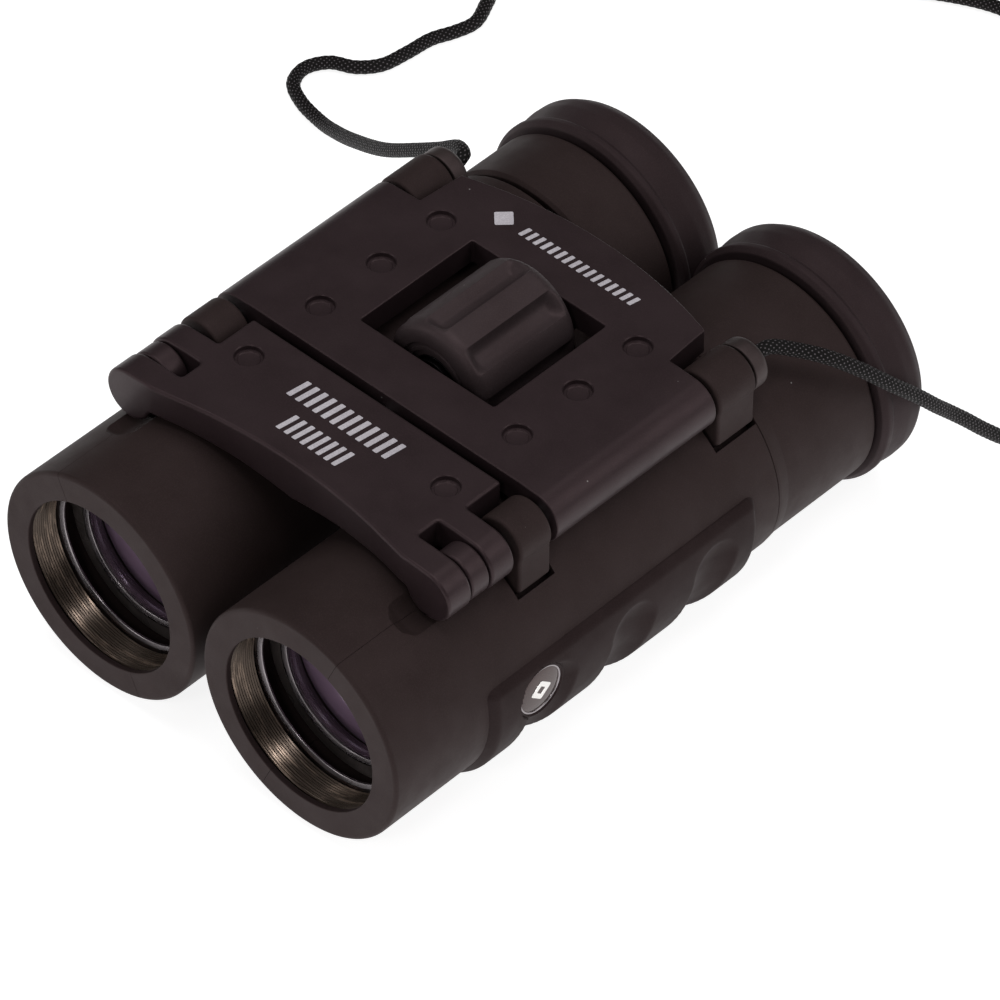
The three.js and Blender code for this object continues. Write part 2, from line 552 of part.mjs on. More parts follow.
add('left_cord_lead', cordTube(LEFT_LEAD, 11), 'cord');
add('left_cord_run', cordTube(LEFT_RUN, 34), 'cord');
add('right_cord_lead', cordTube(RIGHT_LEAD, 8), 'cord');
add('right_cord_run', cordTube(RIGHT_RUN, 22), 'cord');
add('cord_coil', cordCoil(), 'cord');
add('cord_tie', cordTie(), 'rubber');

export default assembly;
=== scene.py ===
"""Folding pocket binoculars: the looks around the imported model. Outlines are in mm, meshes end in metres."""
import math

import bmesh
import bpy
from mathutils import Matrix, Vector


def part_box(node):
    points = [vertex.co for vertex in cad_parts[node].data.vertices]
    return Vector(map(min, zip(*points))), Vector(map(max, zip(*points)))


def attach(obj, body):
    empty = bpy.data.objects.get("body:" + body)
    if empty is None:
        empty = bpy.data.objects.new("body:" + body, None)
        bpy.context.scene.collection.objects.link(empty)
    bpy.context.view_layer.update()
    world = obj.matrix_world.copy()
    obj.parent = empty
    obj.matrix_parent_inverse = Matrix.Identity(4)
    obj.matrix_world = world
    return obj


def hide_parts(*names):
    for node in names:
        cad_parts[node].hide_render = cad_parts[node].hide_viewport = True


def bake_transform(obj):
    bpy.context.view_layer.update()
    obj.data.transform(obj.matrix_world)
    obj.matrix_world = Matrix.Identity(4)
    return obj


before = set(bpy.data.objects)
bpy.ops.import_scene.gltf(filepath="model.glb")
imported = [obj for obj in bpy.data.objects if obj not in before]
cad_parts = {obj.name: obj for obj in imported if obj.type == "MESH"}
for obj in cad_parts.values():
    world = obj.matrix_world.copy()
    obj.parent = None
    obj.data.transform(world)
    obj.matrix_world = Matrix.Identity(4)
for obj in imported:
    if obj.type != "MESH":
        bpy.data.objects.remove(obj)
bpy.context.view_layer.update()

MM = 0.001
SIDES = (("left", -1), ("right", 1))

# ---- camera
CAMERA_AZIMUTH = math.radians(43.206)
CAMERA_ELEVATION = math.radians(44.090)
CAMERA_ROLL = math.radians(0.293)
CAMERA_DISTANCE = 1.03432
CAMERA_LENS = 312.97
AIM = Vector((-0.000823, 0.005955, 0.004515))


def new_object(name, data):
    obj = bpy.data.objects.new(name, data)
    bpy.context.scene.collection.objects.link(obj)
    return obj


def make_camera():
    data = bpy.data.cameras.new("camera")
    data.lens = CAMERA_LENS
    data.sensor_width = 36
    data.clip_start = 0.05
    data.clip_end = 20
    az, el = CAMERA_AZIMUTH, CAMERA_ELEVATION
    right = Vector((math.cos(az), math.sin(az), 0))
    back = Vector((math.sin(az) * math.cos(el), -math.cos(az) * math.cos(el), math.sin(el)))
    up = back.cross(right)
    turn = Matrix.Rotation(CAMERA_ROLL, 3, back)
    axes = Matrix((turn @ right, turn @ up, back)).transposed()
    camera = new_object("camera", data)
    camera.matrix_world = Matrix.Translation(AIM + back * CAMERA_DISTANCE) @ axes.to_4x4()
    bpy.context.scene.camera = camera


make_camera()


# ---- sizes, read from the frame, in mm
def span(node):
    low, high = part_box(node)
    return low / MM, high / MM


def centre_of(node):
    low, high = span(node)
    return (low + high) / 2


BARREL_X = centre_of("right_eyepiece_tube").x
BARREL_Z = centre_of("right_eyepiece_tube").z
COVER_R = span("right_outer_cover")[1].x - BARREL_X
FRONT_Y = span("right_outer_cover")[0].y
COVER_END_Y = span("right_outer_cover")[1].y
HINGE_X = centre_of("right_hinge_pin").x
HINGE_Z = centre_of("right_hinge_pin").z
AXIS, HINGE = (BARREL_X, BARREL_Z), (HINGE_X, HINGE_Z)
PLATE_TOP = span("main_bridge")[1].z
WHEEL_Z = centre_of("focus_wheel").z
WHEEL_Y0, WHEEL_Y1 = span("focus_wheel")[0].y, span("focus_wheel")[1].y
WHEEL_R = span("focus_wheel")[1].z - WHEEL_Z
EYECUP_Y0, REAR_Y = span("right_eyecup")[0].y, span("right_eyecup")[1].y
RING_Y0, RING_Y1 = span("dioptre_ring")[0].y, span("dioptre_ring")[1].y
LEFT_TUBE_END = span("left_eyepiece_tube")[1].y

COVER_REAR_R = 15.25               # the covers taper to this
TUBE_R = 14.95                     # tubes behind the covers
COVER_BORE = 13.6
FRONT_OPENING = 11.6
LIP_DEPTH, LIP_BORE = 6.0, 12.75      # the thicker wall behind the front rim
GROOVE_R = 4.05
ROLL_R = 3.45                      # rolled edge of the plates
KNUCKLE_R = 3.5
LINK_EYE_R = 3.3
PIN_R = 1.2
BORE_R = 1.5                       # pin holes
FLAT_X = 21.4                      # half width of the flat top of the plates
NECK_X = 20.1
PLATE_FRONT_Y = -14.5
ROLL_END_Y = 12.3
PLATE_REAR_Y = 22.0
REAR_CORNER = (19.5, 18.9)
WINDOW_X, WINDOW_Y = 10.7, (-7.4, 11.5)
DIMPLE_R, DIMPLE_DEPTH, DIMPLE_X = 1.75, 0.6, 15.75
DIMPLE_YS = (11.5, 1.35, -8.85)
FRONT_DIMPLE_Y = -20.7
FRONT_REAR_Y, FRONT_EAR_Y, FRONT_MID_Y, FRONT_NOTCH_Y = -15.8, -32.4, -30.0, -22.0
FRONT_EDGE_Y = -31.2
END_EAR, SECOND_EAR = (-32.4, -28.6), (-25.3, -21.6)
EAR_WALL = 0.7
NUT_Y = (-23.5, -18.0)
LINK_Y = (-28.3, -25.6)
FRONT_KNUCKLE_Y, REAR_KNUCKLE_Y = (-20.6, -15.4), (12.9, 19.2)
SPLIT_ANGLE = math.radians(66)
INNER_PAD = ((-30.4, 15.1), (14.9, 15.95), (118, 240))     # y, radius, angles
GRIP_Y, GRIP_ANGLES, GRIP_R, GRIP_INNER = (-30.3, 15.1), (16, -104), 16.2, 14.6
HOLLOW_YS = (-21.6, -8.2, 5.7)     # where the finger hollows cross HOLLOW_MIDDLE
HOLLOW_FROM, HOLLOW_MIDDLE, HOLLOW_TO = -5, -35, -58
HOLLOW_RING, HOLLOW_R, HOLLOW_SLANT = 21.0, 6.0, 0.055
BADGE_Y, BADGE_ANGLE, BADGE_R, BADGE_BASE = -21.9, math.radians(-2), 3.6, 15.25


# ---- outlines
def smoothstep(low, high, value):
    t = min(max((value - low) / (high - low), 0), 1)
    return t * t * (3 - 2 * t)


def rounded(points, steps=5):
    """A closed outline of (a, b) points; a third number on a point is that corner's radius."""
    outline = []
    for i, point in enumerate(points):
        here = Vector(point[:2])
        if len(point) < 3:
            outline.append(here)
            continue
        before = (Vector(points[i - 1][:2]) - here).normalized()
        after = (Vector(points[(i + 1) % len(points)][:2]) - here).normalized()
        half = before.angle(after) / 2
        centre = here + (before + after).normalized() * point[2] / math.sin(half)
        start = here + before * point[2] / math.tan(half) - centre
        end = here + after * point[2] / math.tan(half) - centre
        turn = math.atan2(start.x * end.y - start.y * end.x, start.dot(end))
        for k in range(steps + 1):
            outline.append(centre + Matrix.Rotation(turn * k / steps, 2) @ start)
    return [(p.x, p.y) for p in outline]


def arc(cx, cy, radius, start, end, steps):
    """Points on a circle from one angle to another, in degrees."""
    angles = [math.radians(start + (end - start) * k / steps) for k in range(steps + 1)]
    return [(cx + radius * math.cos(a), cy + radius * math.sin(a)) for a in angles]


# ---- mesh kit
def mesh_object(bm, name="part"):
    bmesh.ops.remove_doubles(bm, verts=bm.verts, dist=1e-5)
    bmesh.ops.recalc_face_normals(bm, faces=bm.faces)
    if bm.calc_volume(signed=True) < 0:
        bmesh.ops.reverse_faces(bm, faces=bm.faces)
    mesh = bpy.data.meshes.new(name)
    bm.to_mesh(mesh)
    bm.free()
    return new_object(name, mesh)


def lathe(profile, x, z, segments=144):
    """A closed profile of (radius, y) points turned about the line (x, z) parallel to Y."""
    bm = bmesh.new()
    rings = []
    for r, y in profile:
        count = 1 if r < 1e-6 else segments
        angles = [2 * math.pi * k / count for k in range(count)]
        rings.append([bm.verts.new((x + r * math.cos(a), y, z + r * math.sin(a))) for a in angles])
    for first, second in zip(rings, rings[1:] + rings[:1]):
        if len(first) == len(second) == 1:
            continue
        for k in range(segments):
            n = (k + 1) % segments
            corners = [first[k % len(first)], first[n % len(first)], second[n % len(second)],
                       second[k % len(second)]]
            bm.faces.new(list(dict.fromkeys(corners)))
    return mesh_object(bm)


def rod(radius, y0, y1, x, z, segments=48):
    return lathe([(0, y0), (radius, y0), (radius, y1), (0, y1)], x, z, segments)


def extrude(outline, low, high, place):
    """A closed outline pushed from low to high; place(a, b, t) gives the point in space."""
    bm = bmesh.new()
    loops = [[bm.verts.new(place(a, b, t)) for a, b in outline] for t in (low, high)]
    bm.faces.new(loops[0])
    bm.faces.new(loops[1])
    for k in range(len(outline)):
        n = (k + 1) % len(outline)
        bm.faces.new((loops[0][k], loops[0][n], loops[1][n], loops[1][k]))
    return mesh_object(bm)


def along_y(outline, y0, y1):
    return extrude(outline, y0, y1, lambda a, b, t: (a, t, b))


def along_z(outline, z0, z1):
    return extrude(outline, z0, z1, lambda a, b, t: (a, b, t))


def box(x, y, z):
    return along_z([(x[0], y[0]), (x[1], y[0]), (x[1], y[1]), (x[0], y[1])], *z)


def bake(obj):
    """Applies the modifiers to the mesh."""
    graph = bpy.context.evaluated_depsgraph_get()
    mesh = bpy.data.meshes.new_from_object(obj.evaluated_get(graph))
    obj.modifiers.clear()
    old = obj.data
    obj.data = mesh
    bpy.data.meshes.remove(old)


def combine(obj, operation, tools):
    for tool in tools:
        modifier = obj.modifiers.new("boolean", "BOOLEAN")
        modifier.operation = operation
        modifier.solver = "EXACT"
        modifier.object = tool
        bake(obj)
        bpy.data.objects.remove(tool)
    return obj


def cut(obj, *tools):
    return combine(obj, "DIFFERENCE", tools)


def join(obj, *tools):
    return combine(obj, "UNION", tools)


def common(obj, *tools):
    return combine(obj, "INTERSECT", tools)


def bevel(obj, width, segments=3, angle=35):
    modifier = obj.modifiers.new("bevel", "BEVEL")
    modifier.width = width
    modifier.segments = segments
    modifier.limit_method = "ANGLE"
    modifier.angle_limit = math.radians(angle)
    modifier.use_clamp_overlap = False
    modifier.miter_outer = "MITER_ARC"
    bake(obj)
    return obj


def piece(obj, name, body, material, slot, *nodes, sharp=32, side=1):
    """Scales a finished mesh to metres and makes it a piece on a CAD body; side -1 mirrors it first."""
    mesh = obj.data
    if side < 0:
        mesh.transform(Matrix.Scale(-1, 4, (1, 0, 0)))
        mesh.flip_normals()
    mesh.transform(Matrix.Scale(MM, 4))
    obj.name = mesh.name = name
    mesh.shade_smooth()
    mesh.set_sharp_from_angle(angle=math.radians(sharp))
    mesh.materials.clear()
    mesh.materials.append(material)
    weighted = obj.modifiers.new("weighted", "WEIGHTED_NORMAL")
    weighted.keep_sharp = True
    bake(obj)
    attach(obj, body)
    if nodes:
        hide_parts(*nodes)
    return obj


# ---- materials
def new_material(name):
    material = bpy.data.materials.new(name)
    material.use_nodes = True
    nodes, links = material.node_tree.nodes, material.node_tree.links
    return material, nodes, links, nodes["Principled BSDF"]


def set_inputs(node, **values):
    """Sets a node's own sockets; a space in a socket's name is written as _."""
    for name, value in values.items():
        node.inputs[name.replace("_", " ")].default_value = value


def add_node(nodes, kind, **values):
    node = nodes.new(f"ShaderNode{kind}")
    set_inputs(node, **values)
    return node


def object_noise(nodes, links, scale, detail=3.0, roughness=0.5, stretch=None):
    """Noise in the object's own coordinates; scale is waves a metre."""
    noise = add_node(nodes, "TexNoise", Scale=scale, Detail=detail, Roughness=roughness)
    source = add_node(nodes, "TexCoord").outputs["Object"]
    if stretch:
        mapping = add_node(nodes, "Mapping", Scale=stretch)
        links.new(source, mapping.inputs["Vector"])
        source = mapping.outputs["Vector"]
    links.new(source, noise.inputs["Vector"])
    return noise.outputs["Fac"]


def remap(nodes, links, value, low, high, to_low=0.0, to_high=1.0):
    node = add_node(nodes, "MapRange", From_Min=low, From_Max=high, To_Min=to_low, To_Max=to_high)
    links.new(value, node.inputs["Value"])
    return node.outputs["Result"]


def mix_colour(nodes, links, factor, first, second):
    """Mixes two colours; 6 and 7 are the colour sockets of the Mix node."""
    node = add_node(nodes, "Mix")
    node.data_type = "RGBA"
    for socket, colour in ((6, first), (7, second)):
        if isinstance(colour, tuple):
            node.inputs[socket].default_value = (*colour, 1)
        else:
            links.new(colour, node.inputs[socket])
    links.new(factor, node.inputs[0])
    return node.outputs[2]


def calculate(nodes, links, operation, first, second):
    node = add_node(nodes, "Math")
    node.operation = operation
    for socket, value in zip(node.inputs, (first, second)):
        if isinstance(value, float):
            socket.default_value = value
        else:
            links.new(value, socket)
    return node.outputs[0]


def dust_mask(nodes, links, scale, size, share):
    """Sparse round specks: near the middle of some cells of a Voronoi pattern."""
    cells = add_node(nodes, "TexVoronoi", Scale=scale)
    links.new(add_node(nodes, "TexCoord").outputs["Object"], cells.inputs["Vector"])
    near = remap(nodes, links, cells.outputs["Distance"], size * 0.6, size, 1.0, 0.0)
    split = add_node(nodes, "SeparateColor")
    links.new(cells.outputs["Color"], split.inputs["Color"])
    chosen = calculate(nodes, links, "GREATER_THAN", split.outputs["Red"], share)
    return calculate(nodes, links, "MULTIPLY", near, chosen)


def add_relief(nodes, links, shader, height, strength, distance):
    bump = add_node(nodes, "Bump", Strength=strength, Distance=distance)
    links.new(height, bump.inputs["Height"])
    links.new(bump.outputs["Normal"], shader.inputs["Normal"])


REDDISH = (1.0, 0.72, 0.75, 1)      # tint of the gloss on every dark plastic


def moulded(name, dark, light, roughness, bump=0.10, specular=0.5, dust=0.6):
    """Black moulded plastic or rubber: mottled colour, uneven gloss, fine grain and specks of dust."""
    material, nodes, links, shader = new_material(name)
    patches = object_noise(nodes, links, 130.0, 4.0)
    grain = object_noise(nodes, links, 6500.0, 2.0)
    colour = mix_colour(nodes, links, remap(nodes, links, patches, 0.35, 0.65), dark, light)
    speckle = remap(nodes, links, grain, 0.45, 0.75, 0.0, 0.35)
    colour = mix_colour(nodes, links, speckle, colour, tuple(c * 1.8 for c in light))
    if dust:
        specks = dust_mask(nodes, links, 300.0, 0.034, 0.8)
        faded = remap(nodes, links, specks, 0.0, 1.0, 0.0, dust)
        colour = mix_colour(nodes, links, faded, colour, (0.42, 0.40, 0.39))
    links.new(colour, shader.inputs["Base Color"])
    smudges = object_noise(nodes, links, 320.0, 5.0, 0.6)
    gloss = remap(nodes, links, smudges, 0.3, 0.7, roughness - 0.05, roughness + 0.06)
    links.new(gloss, shader.inputs["Roughness"])
    add_relief(nodes, links, shader, grain, bump, 0.00004)
    set_inputs(shader, Specular_IOR_Level=specular, Specular_Tint=REDDISH)
    return material


def turned_metal(name, base, worn, roughness, wear=(0.55, 0.75), metallic=1.0):
    """Metal turned on a lathe: fine lines round the Y axis and a second colour where it is worn."""
    material, nodes, links, shader = new_material(name)
    patches = object_noise(nodes, links, 900.0, 6.0, 0.65, (0.16, 1.0, 0.16))
    factor = remap(nodes, links, patches, *wear)
    links.new(mix_colour(nodes, links, factor, base, worn), shader.inputs["Base Color"])
    grooves = object_noise(nodes, links, 9000.0, 2.0, 0.5, (0.02, 1.0, 0.02))
    gloss = remap(nodes, links, grooves, 0.3, 0.7, roughness - 0.08, roughness + 0.1)
    links.new(gloss, shader.inputs["Roughness"])
    add_relief(nodes, links, shader, grooves, 0.12, 0.00003)
    set_inputs(shader, Metallic=metallic)
    return material


def coated_glass(name, dark, tint, transmission=0.0):
    """Coated glass: its body colour (on the lenses a pale painted reflection standing in for the light seen
    inside them) and a tinted reflection, with a little dust on it.
    """
    material, nodes, links, shader = new_material(name)
    haze = object_noise(nodes, links, 160.0)
    lighter = tuple(min(c * 1.12, 1.0) for c in dark)
    colour = mix_colour(nodes, links, remap(nodes, links, haze, 0.3, 0.7), dark, lighter)
    specks = dust_mask(nodes, links, 420.0, 0.03, 0.8)
    colour = mix_colour(nodes, links, specks, colour, (0.35, 0.33, 0.36))
    links.new(colour, shader.inputs["Base Color"])
    links.new(remap(nodes, links, haze, 0.3, 0.7, 0.04, 0.07), shader.inputs["Roughness"])
    set_inputs(shader, IOR=1.52, Specular_Tint=(*tint, 1), Transmission_Weight=transmission,
               Coat_Weight=0.6, Coat_Roughness=0.03, Coat_Tint=(*tint, 1))
    return material


def braided(name):
    """Black braided cord: crossing strands along the tube's own u (round) and v (along) coordinates."""
    material, nodes, links, shader = new_material(name)
    coordinates = add_node(nodes, "UVMap")
    coordinates.uv_map = "along"
    ridges = []
    for lean in (1, -1):
        mapping = add_node(nodes, "Mapping", Rotation=(0, 0, lean * math.radians(42)))
        links.new(coordinates.outputs["UV"], mapping.inputs["Vector"])
        wave = add_node(nodes, "TexWave", Scale=0.62, Distortion=0.6, Detail=1.0)
        links.new(mapping.outputs["Vector"], wave.inputs["Vector"])
        ridges.append(wave.outputs["Fac"])
    crossing = calculate(nodes, links, "MULTIPLY", *ridges)
    shine = remap(nodes, links, crossing, 0.62, 0.95)
    colour = mix_colour(nodes, links, shine, (0.004, 0.003, 0.003), (0.16, 0.14, 0.15))
    links.new(colour, shader.inputs["Base Color"])
    links.new(remap(nodes, links, crossing, 0.0, 1.0, 0.75, 0.42), shader.inputs["Roughness"])
    add_relief(nodes, links, shader, crossing, 0.5, 0.0001)
    set_inputs(shader, Specular_IOR_Level=0.2)
    return material


PLATE = moulded("plate_plastic", (0.0190, 0.0118, 0.0132), (0.0245, 0.0158, 0.0175), 0.42, specular=0.35)
COVER = moulded("cover_coating", (0.0225, 0.0148, 0.0140), (0.0280, 0.0190, 0.0182), 0.62, specular=0.2)
GRIP_RUBBER = moulded("grip_rubber", (0.0175, 0.0112, 0.0110), (0.0230, 0.0152, 0.0150), 0.66, bump=0.2,
                      specular=0.16)
CUP_RUBBER = moulded("eyecup_rubber", (0.0215, 0.0140, 0.0150), (0.0275, 0.0185, 0.0198), 0.60, bump=0.15,
                     specular=0.22)
WHEEL_RUBBER = moulded("wheel_rubber", (0.0270, 0.0190, 0.0200), (0.0360, 0.0265, 0.0280), 0.50, bump=0.2,
                       specular=0.35)
LUG_PLASTIC = moulded("lug_plastic", (0.020, 0.0155, 0.0145), (0.028, 0.022, 0.020), 0.5)
BADGE_DARK = moulded("badge_backing", (0.028, 0.019, 0.016), (0.045, 0.030, 0.025), 0.12, bump=0.02, dust=0)
TIE = moulded("tie_plastic", (0.008, 0.008, 0.008), (0.012, 0.012, 0.012), 0.45)
PRINT = moulded("pale_print", (0.52, 0.49, 0.53), (0.60, 0.57, 0.61), 0.55, bump=0.05, dust=0)
HUB_DARK = turned_metal("hub_rings", (0.015, 0.013, 0.014), (0.07, 0.065, 0.065), 0.35, (0.6, 0.8))
STEEL = turned_metal("turned_steel", (0.45, 0.45, 0.46), (0.30, 0.29, 0.28), 0.3)
BRASS = turned_metal("turned_brass", (0.55, 0.40, 0.18), (0.38, 0.26, 0.12), 0.35)
ANODISED = turned_metal("black_anodised", (0.022, 0.019, 0.020), (0.06, 0.05, 0.045), 0.38, (0.55, 0.8))
CELL = turned_metal("lens_cell", (0.12, 0.10, 0.095), (0.26, 0.22, 0.21), 0.32, (0.5, 0.8), 0.5)
THREAD = turned_metal("worn_thread", (0.085, 0.062, 0.048), (0.42, 0.31, 0.24), 0.28, (0.5, 0.75), 0.7)
BRIGHT_RING = turned_metal("bright_ring", (0.30, 0.27, 0.28), (0.45, 0.41, 0.42), 0.28)
CHROME = turned_metal("silver_badge", (0.78, 0.76, 0.74), (0.60, 0.58, 0.57), 0.22)
# The lenses' pale grey-violet body colour is a painted reflection: it stands in for the light seen inside the
# lens, made lighter to offset the shade of the barrel round it.
LENS = coated_glass("lens_with_painted_reflection", (0.270, 0.205, 0.225), (0.72, 0.58, 0.90))
PRISM = coated_glass("prism_glass", (0.60, 0.64, 0.66), (1.0, 1.0, 1.0), 0.8)
CORD = braided("braided_cord")


# ---- cords
CORD_R = 0.95
LAID = CORD_R + 0.02
COIL_X, COIL_Y, COIL_R = -12.0, 134.0, 11.0
LEFT_ROUTE = [
    (-24, 22.3, 32.9), (-24.3, 24.2, 33.2), (-26.3, 25.6, 32.3), (-30.8, 27, 28.4), (-36.6, 28.6, 23.6),
    (-44, 31.2, 17.4), (-54.2, 36.3, 9.25), (-60.5, 39.6, 4.6), (-65.8, 42, 1.7), (-70.8, 43.6, LAID),
    (-73.9, 45.4, LAID), (-74.9, 48.4, LAID), (-73.4, 51.4, LAID), (-70.4, 53, LAID), (-68.3, 55.6, LAID),
    (-67.6, 59.5, LAID), (-67.2, 63.5, LAID), (-66, 66.6, LAID), (-65.4, 69.6, LAID), (-67, 73.6, LAID),
    (-69.5, 79, LAID), (-67.5, 85, LAID), (-60, 91, LAID), (-49, 97.5, LAID), (-38, 106, LAID),
    (-28, 113.5, LAID), (-20, 117.4, LAID), (-13.4, 118.3, LAID)]
RIGHT_ROUTE = [
    (24, 22.3, 32.9), (24.4, 24.6, 33.1), (26.2, 27.2, 32.1), (28.6, 29.8, 30.8), (30.8, 33.2, 28),
    (32.6, 37.4, 23.7), (33.4, 41.4, 19.6), (33.6, 44.6, 16), (33.47, 47, 13.4), (33.8, 49.8, 10.4),
    (34.4, 53.4, 6.4), (35.0, 56.8, 3.1), (35.6, 59.6, 1.5), (36.3, 62.2, LAID), (36.4, 65.5, LAID),
    (34.5, 71, LAID), (28.5, 78.5, LAID), (19.5, 87, LAID), (11, 96.5, LAID), (3.5, 106.5, LAID),
    (-2.5, 114.5, LAID), (-6.6, 117.8, LAID), (-10.6, 118.3, LAID)]
TURNS = 9
POINTS_A_TURN = 24


def coil_route():
    """Nine turns, three beside each other in each of three layers, wound from the outside in and back."""
    order = [(1, 0), (0, 0), (-1, 0), (-1, 1), (0, 1), (1, 1), (1, 2), (0, 2), (-1, 2)]
    pitch = 2 * CORD_R
    points = []
    for k in range(4, TURNS * POINTS_A_TURN + 1):
        turn, part = divmod(k / POINTS_A_TURN, 1)
        turn = min(int(turn), TURNS - 1)
        now, then = order[turn], order[min(turn + 1, TURNS - 1)]
        ease = smoothstep(0.75, 1.0, part)
        radius = COIL_R + pitch * (now[0] + (then[0] - now[0]) * ease)
        height = LAID + pitch * (now[1] + (then[1] - now[1]) * ease)
        if k < POINTS_A_TURN // 2:
            radius += 0.35 * (1 - k / (POINTS_A_TURN / 2))
        angle = math.radians(-90 - 360 * k / POINTS_A_TURN)
        points.append((COIL_X + radius * math.cos(angle), COIL_Y + radius * math.sin(angle), height))
    return points


def weigh(p, q, low, high, t):
    """The point at t between p at low and q at high."""
    return p * (high - t) / (high - low) + q * (t - low) / (high - low)


def smooth_line(points, step):
    """Points a step apart along the centripetal Catmull-Rom curve through the given ones."""
    knots = [Vector(p) for p in points]
    knots = [2 * knots[0] - knots[1], *knots, 2 * knots[-1] - knots[-2]]
    dense = []
    for p0, p1, p2, p3 in zip(knots, knots[1:], knots[2:], knots[3:]):
        t1 = (p1 - p0).length ** 0.5
        t2 = t1 + (p2 - p1).length ** 0.5
        t3 = t2 + (p3 - p2).length ** 0.5
        for k in range(12):
            t = t1 + (t2 - t1) * k / 12
            a1 = weigh(p0, p1, 0, t1, t)
            a2 = weigh(p1, p2, t1, t2, t)
            a3 = weigh(p2, p3, t2, t3, t)
            dense.append(weigh(weigh(a1, a2, 0, t2, t), weigh(a2, a3, t1, t3, t), t1, t2, t))
    dense.append(knots[-2])
    line, need = [dense[0]], step
    for here, there in zip(dense, dense[1:]):
        length = (there - here).length
        at = 0.0
        while length - at >= need:
            at += need
            line.append(here.lerp(there, at / length))
            need = step
        need -= length - at
    return line


BRAID_WAVES = 5                    # crossings round the cord
BRAID_PITCH = 2.1                  # mm along the cord
BRAID_DEPTH = 0.05


def braided_tube(points, name, sides=16, step=0.3):
    """A round cord whose surface rises and falls with its crossing strands. Returns it and its line."""
    line = smooth_line(points, step)
    bm = bmesh.new()
    uv = bm.loops.layers.uv.new("along")
    across = Vector((1, 0, 0))
    rings = []
    for i, point in enumerate(line):
        ahead = (line[min(i + 1, len(line) - 1)] - line[max(i - 1, 0)]).normalized()
        across = (across - ahead * across.dot(ahead)).normalized()
        other = ahead.cross(across)
        ring = []
        for k in range(sides):
            a = 2 * math.pi * k / sides
            phase = 2 * math.pi * i * step / BRAID_PITCH
            lift = math.cos(BRAID_WAVES * a + phase) * math.cos(BRAID_WAVES * a - phase)
            r = CORD_R - BRAID_DEPTH + BRAID_DEPTH * lift
            ring.append(bm.verts.new(point + across * r * math.cos(a) + other * r * math.sin(a)))
        rings.append(ring)
    for i, (first, second) in enumerate(zip(rings, rings[1:])):
        for k in range(sides):
            n = (k + 1) % sides
            face = bm.faces.new((first[k], first[n], second[n], second[k]))
            around = 2 * math.pi * CORD_R / sides
            marks = ((k, i), (k + 1, i), (k + 1, i + 1), (k, i + 1))
            for loop, (u, v) in zip(face.loops, marks):
                loop[uv].uv = (u * around, v * step)
    bm.faces.new(rings[0])
    bm.faces.new(rings[-1])
    bmesh.ops.recalc_face_normals(bm, faces=bm.faces)
    mesh = bpy.data.meshes.new(name)
    bm.to_mesh(mesh)
    bm.free()
    mesh.transform(Matrix.Scale(MM, 4))
    mesh.shade_smooth()
    mesh.materials.append(CORD)
    obj = new_object(name, mesh)
    return obj, [p * MM for p in line]


def make_tie():
    """Flat strip bent over the coil and both strands, with rounded shoulders."""
    low, high = span("cord_tie")
    wall, inset = 0.75, 0.05
    y0, y1, top = low.y + inset, high.y - inset, high.z
    arch = rounded([(y0, low.z), (y0, top, 2.0), (y1, top, 2.0), (y1, low.z), (y1 - wall, low.z),
                    (y1 - wall, top - wall, 1.25), (y0 + wall, top - wall, 1.25), (y0 + wall, low.z)], 8)
    band = extrude(arch, low.x + 0.4, high.x - 0.4, lambda a, b, t: (t, a, b))
    bevel(band, 0.18, 2, 50)
    return piece(band, "tie_band", "bridge", TIE, "tie", "cord_tie")


tie = make_tie()
left_cord, left_line = braided_tube(LEFT_ROUTE, "left_cord")
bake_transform(left_cord)
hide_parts("left_cord_lead", "left_cord_run")
right_cord, right_line = braided_tube(RIGHT_ROUTE + coil_route(), "right_cord")
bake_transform(right_cord)
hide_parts("right_cord_lead", "right_cord_run", "cord_coil")


# ---- barrels, made for the right side
def around(r, angle):
    """The XZ point at a radius and an angle round the optical axis, angle 0 on the outer side."""
    return BARREL_X + r * math.cos(angle), BARREL_Z + r * math.sin(angle)


def arc_slab(y, r, angles, steps, corner=None):
    """A curved slab round the barrel; its two long outer edges may be rounded."""
    turns = [math.radians(angles[0] + (angles[1] - angles[0]) * k / steps) for k in range(steps + 1)]
    outside = [around(r[1], a) for a in turns]
    inside = [around(r[0], a) for a in reversed(turns)]
    if corner:
        outside[0] = (*outside[0], corner)
        outside[-1] = (*outside[-1], corner)
    slab = along_y(rounded([*outside, *inside], 4), *y)
    bm = bmesh.new()
    bm.from_mesh(slab.data)
    bmesh.ops.triangulate(bm, faces=[face for face in bm.faces if len(face.verts) > 4])
    bm.to_mesh(slab.data)
    bm.free()
    return slab


def slot_outline(clear, right, low_right, low_mid, left):
    """The strap's outline seen along Y with room round it, open up to the fold axis."""
    return [(right + clear, HINGE_Z), (right + clear, low_right - clear),
            (low_mid[0] + clear, low_mid[1] - 1.4 * clear),
            (left[0] - clear, left[1] - 1.2 * clear), (left[0] - clear, HINGE_Z)]


def half_space(outward, gap):
    """A thick slab on one side of the seam plane between the half shells."""
    c, s = math.cos(SPLIT_ANGLE), math.sin(SPLIT_ANGLE)
    nx, nz = (s, -c) if outward else (-s, c)
    corners = [(gap / 2, 40), (40, 40), (40, -40), (gap / 2, -40)]
    outline = [(BARREL_X + nx * u + c * v, BARREL_Z + nz * u + s * v) for u, v in corners]
    return along_y(outline, FRONT_Y - 2, COVER_END_Y + 2)


def cover_profile():
    """Radius and y round the wall of the covers, with the rounded rim and the recess behind it."""
    lip_end = FRONT_Y + LIP_DEPTH
    return rounded([(FRONT_OPENING, FRONT_Y, 0.14), (COVER_R, FRONT_Y, 0.55),
                    (COVER_REAR_R, COVER_END_Y, 0.08), (COVER_BORE, COVER_END_Y), (COVER_BORE, lip_end),
                    (LIP_BORE, lip_end), (LIP_BORE, FRONT_Y + 1.0), (FRONT_OPENING, FRONT_Y + 0.75, 0.1)], 6)


